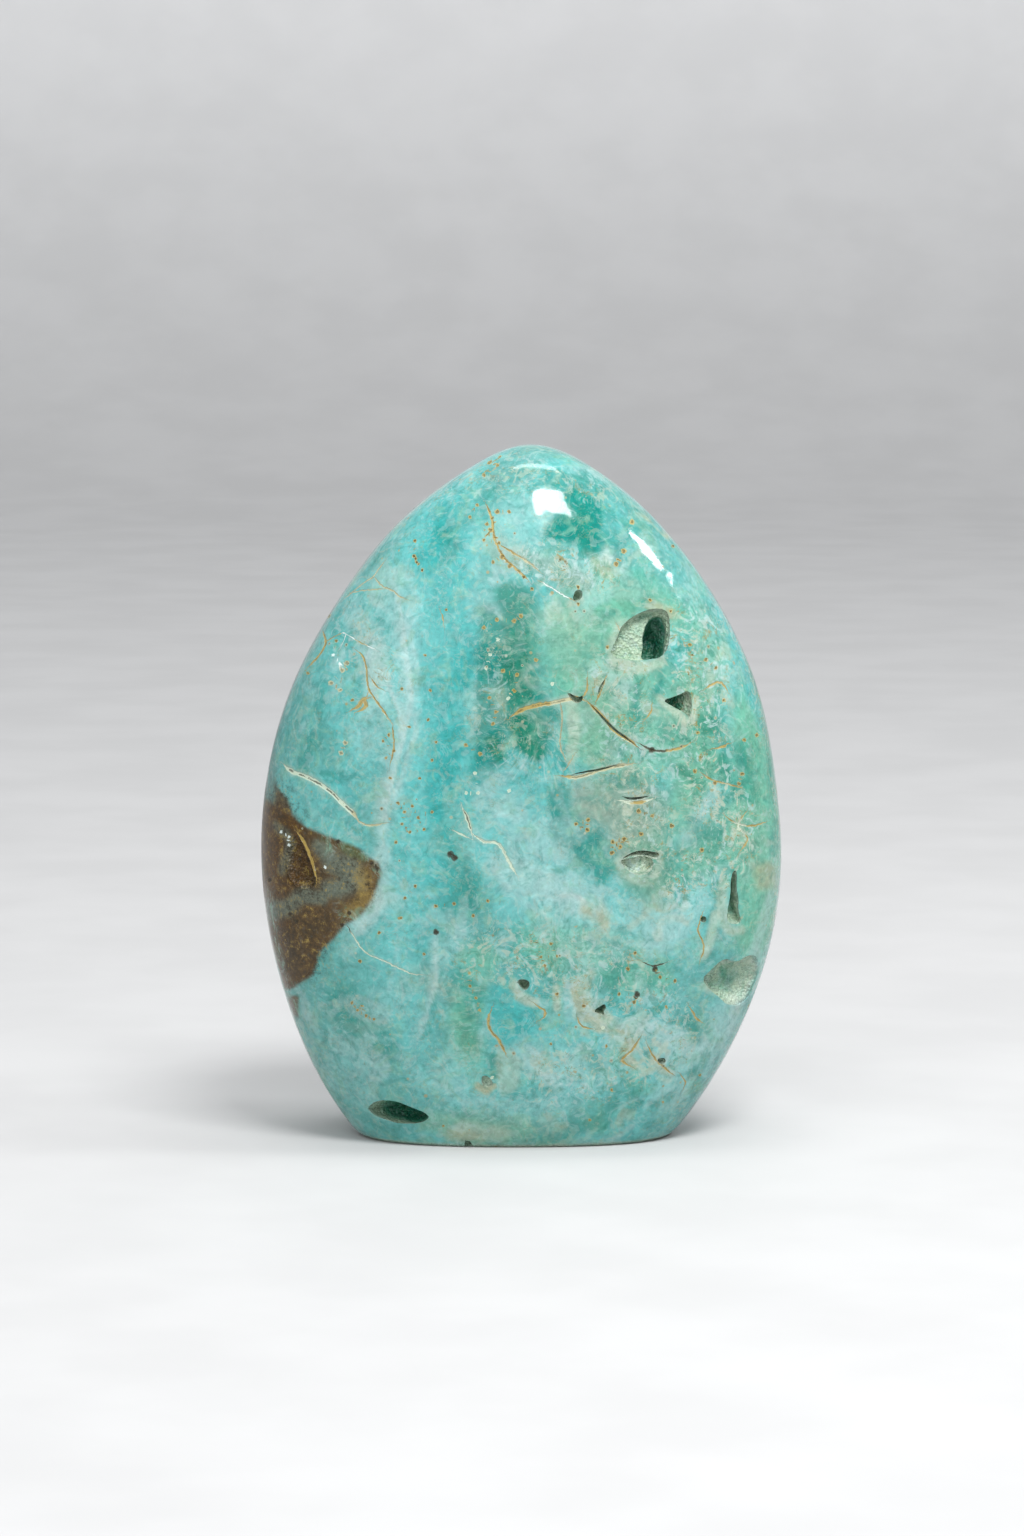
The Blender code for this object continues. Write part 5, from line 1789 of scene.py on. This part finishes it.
def make_floor():
    """A pale sheet that lies flat and sweeps up behind the stone."""
    deselect_all()
    bpy.ops.mesh.primitive_plane_add(size=FLOOR_SIZE, location=(0, 0, 0))
    floor = bpy.context.active_object
    floor.name = "sweep"
    bpy.ops.object.mode_set(mode="EDIT")
    select_in_edit(floor, "EDGE", lambda edge: all(vertex.co.y > 0.1 for vertex in edge.verts))
    turns = 12
    for step in range(turns):
        angle = math.pi / 2 * (step + 0.5) / turns
        length = SWEEP_RADIUS * math.pi / 2 / turns
        move = Vector((0, math.cos(angle), math.sin(angle))) * length
        bpy.ops.mesh.extrude_edges_move(TRANSFORM_OT_translate={"value": move})
    bpy.ops.mesh.extrude_edges_move(TRANSFORM_OT_translate={"value": Vector((0, 0, WALL_HEIGHT))})
    bpy.ops.object.mode_set(mode="OBJECT")
    bpy.ops.object.shade_smooth()
    floor.data.materials.append(floor_material())


def area_light(name, place, aim, size, power):
    light = bpy.data.lights.new(name, "AREA")
    light.shape = "RECTANGLE"
    light.size, light.size_y = size
    light.energy = power
    lamp = bpy.data.objects.new(name, light)
    lamp.location = place
    lamp.rotation_euler = (Vector(aim) - Vector(place)).to_track_quat("-Z", "Y").to_euler()
    bpy.context.scene.collection.objects.link(lamp)


def mirrored(form, place, distance):
    """Where a lamp hangs for the polish to mirror it to the camera at a place of the front's picture."""
    picture = Picture(form, 0)
    point = picture.laid(np.array((place,), float))[0]
    steps = np.eye(3) * 0.05
    slope = form.depth_below(point - steps) - form.depth_below(point + steps)
    out = slope / np.linalg.norm(slope)
    look = (picture.eye - point) / np.linalg.norm(picture.eye - point)
    bounce = 2 * (out @ look) * out - look
    return Vector(point * MM), Vector(point * MM + bounce * distance)


def make_lights(scene, form):
    """A pale room, a small key lamp and a strip that the polish mirrors, and a broad soft fill."""
    world = bpy.data.worlds.new("soft_room")
    world.use_nodes = True
    room = world.node_tree.nodes["Background"]
    room.inputs["Color"].default_value = ROOM_LIGHT
    room.inputs["Strength"].default_value = ROOM_STRENGTH
    scene.world = world
    aim, place = mirrored(form, KEY_SEEN_AT, LAMP_DISTANCE)
    area_light("key", place, aim, (0.25, 0.17), 3.6)
    aim, place = mirrored(form, STRIP_SEEN_AT, LAMP_DISTANCE)
    area_light("strip", place, aim, (0.10, 0.10), 0.9)
    area_light("fill", (-0.3, -1.1, 0.75), (0, 0, 0.05), (1.3, 0.9), 7)
    area_light("backdrop", (0.1, 0.1, 1.3), (0.1, 1.2, 0.5), (0.8, 0.4), 9)


def make_camera(scene):
    camera = bpy.data.cameras.new("view")
    camera.sensor_fit = "VERTICAL"
    camera.sensor_height = SENSOR_MM
    camera.sensor_width = SENSOR_MM
    camera.lens = VIEW_FOCAL_MM
    camera.clip_start = 0.05
    eye = bpy.data.objects.new("view", camera)
    back = Vector((0, -math.cos(VIEW_ELEVATION), math.sin(VIEW_ELEVATION)))
    eye.location = VIEW_TARGET + back * VIEW_DISTANCE
    eye.rotation_euler = (-back).to_track_quat("-Z", "Y").to_euler()
    scene.collection.objects.link(eye)
    scene.camera = eye
    scene.view_settings.view_transform = "Standard"


class STONE_PT_panel(bpy.types.Panel):
    """The stone's pieces, sizes and colours"""

    bl_idname = "STONE_PT_panel"
    bl_label = "Aragonite flame"
    bl_space_type = "VIEW_3D"
    bl_region_type = "UI"
    bl_category = "Stone"

    def draw(self, context):
        layout = self.layout
        for group in (context.scene.stone_sizes, context.scene.stone_colours):
            box = layout.box()
            for name in type(group).__annotations__:
                box.prop(group, name)
        for operator in (STONE_OT_flame, STONE_OT_stage):
            layout.operator(operator.bl_idname)


CLASSES = (StoneSizes, StoneColours, STONE_OT_flame, STONE_OT_stage, STONE_PT_panel)


def register():
    for kind in CLASSES:
        bpy.utils.register_class(kind)
    bpy.types.Scene.stone_sizes = bpy.props.PointerProperty(type=StoneSizes)
    bpy.types.Scene.stone_colours = bpy.props.PointerProperty(type=StoneColours)


def unregister():
    del bpy.types.Scene.stone_colours
    del bpy.types.Scene.stone_sizes
    for kind in reversed(CLASSES):
        bpy.utils.unregister_class(kind)


def main():
    register()
    bpy.ops.stone.flame()
    bpy.ops.stone.stage()


if __name__ == "__main__":
    main()
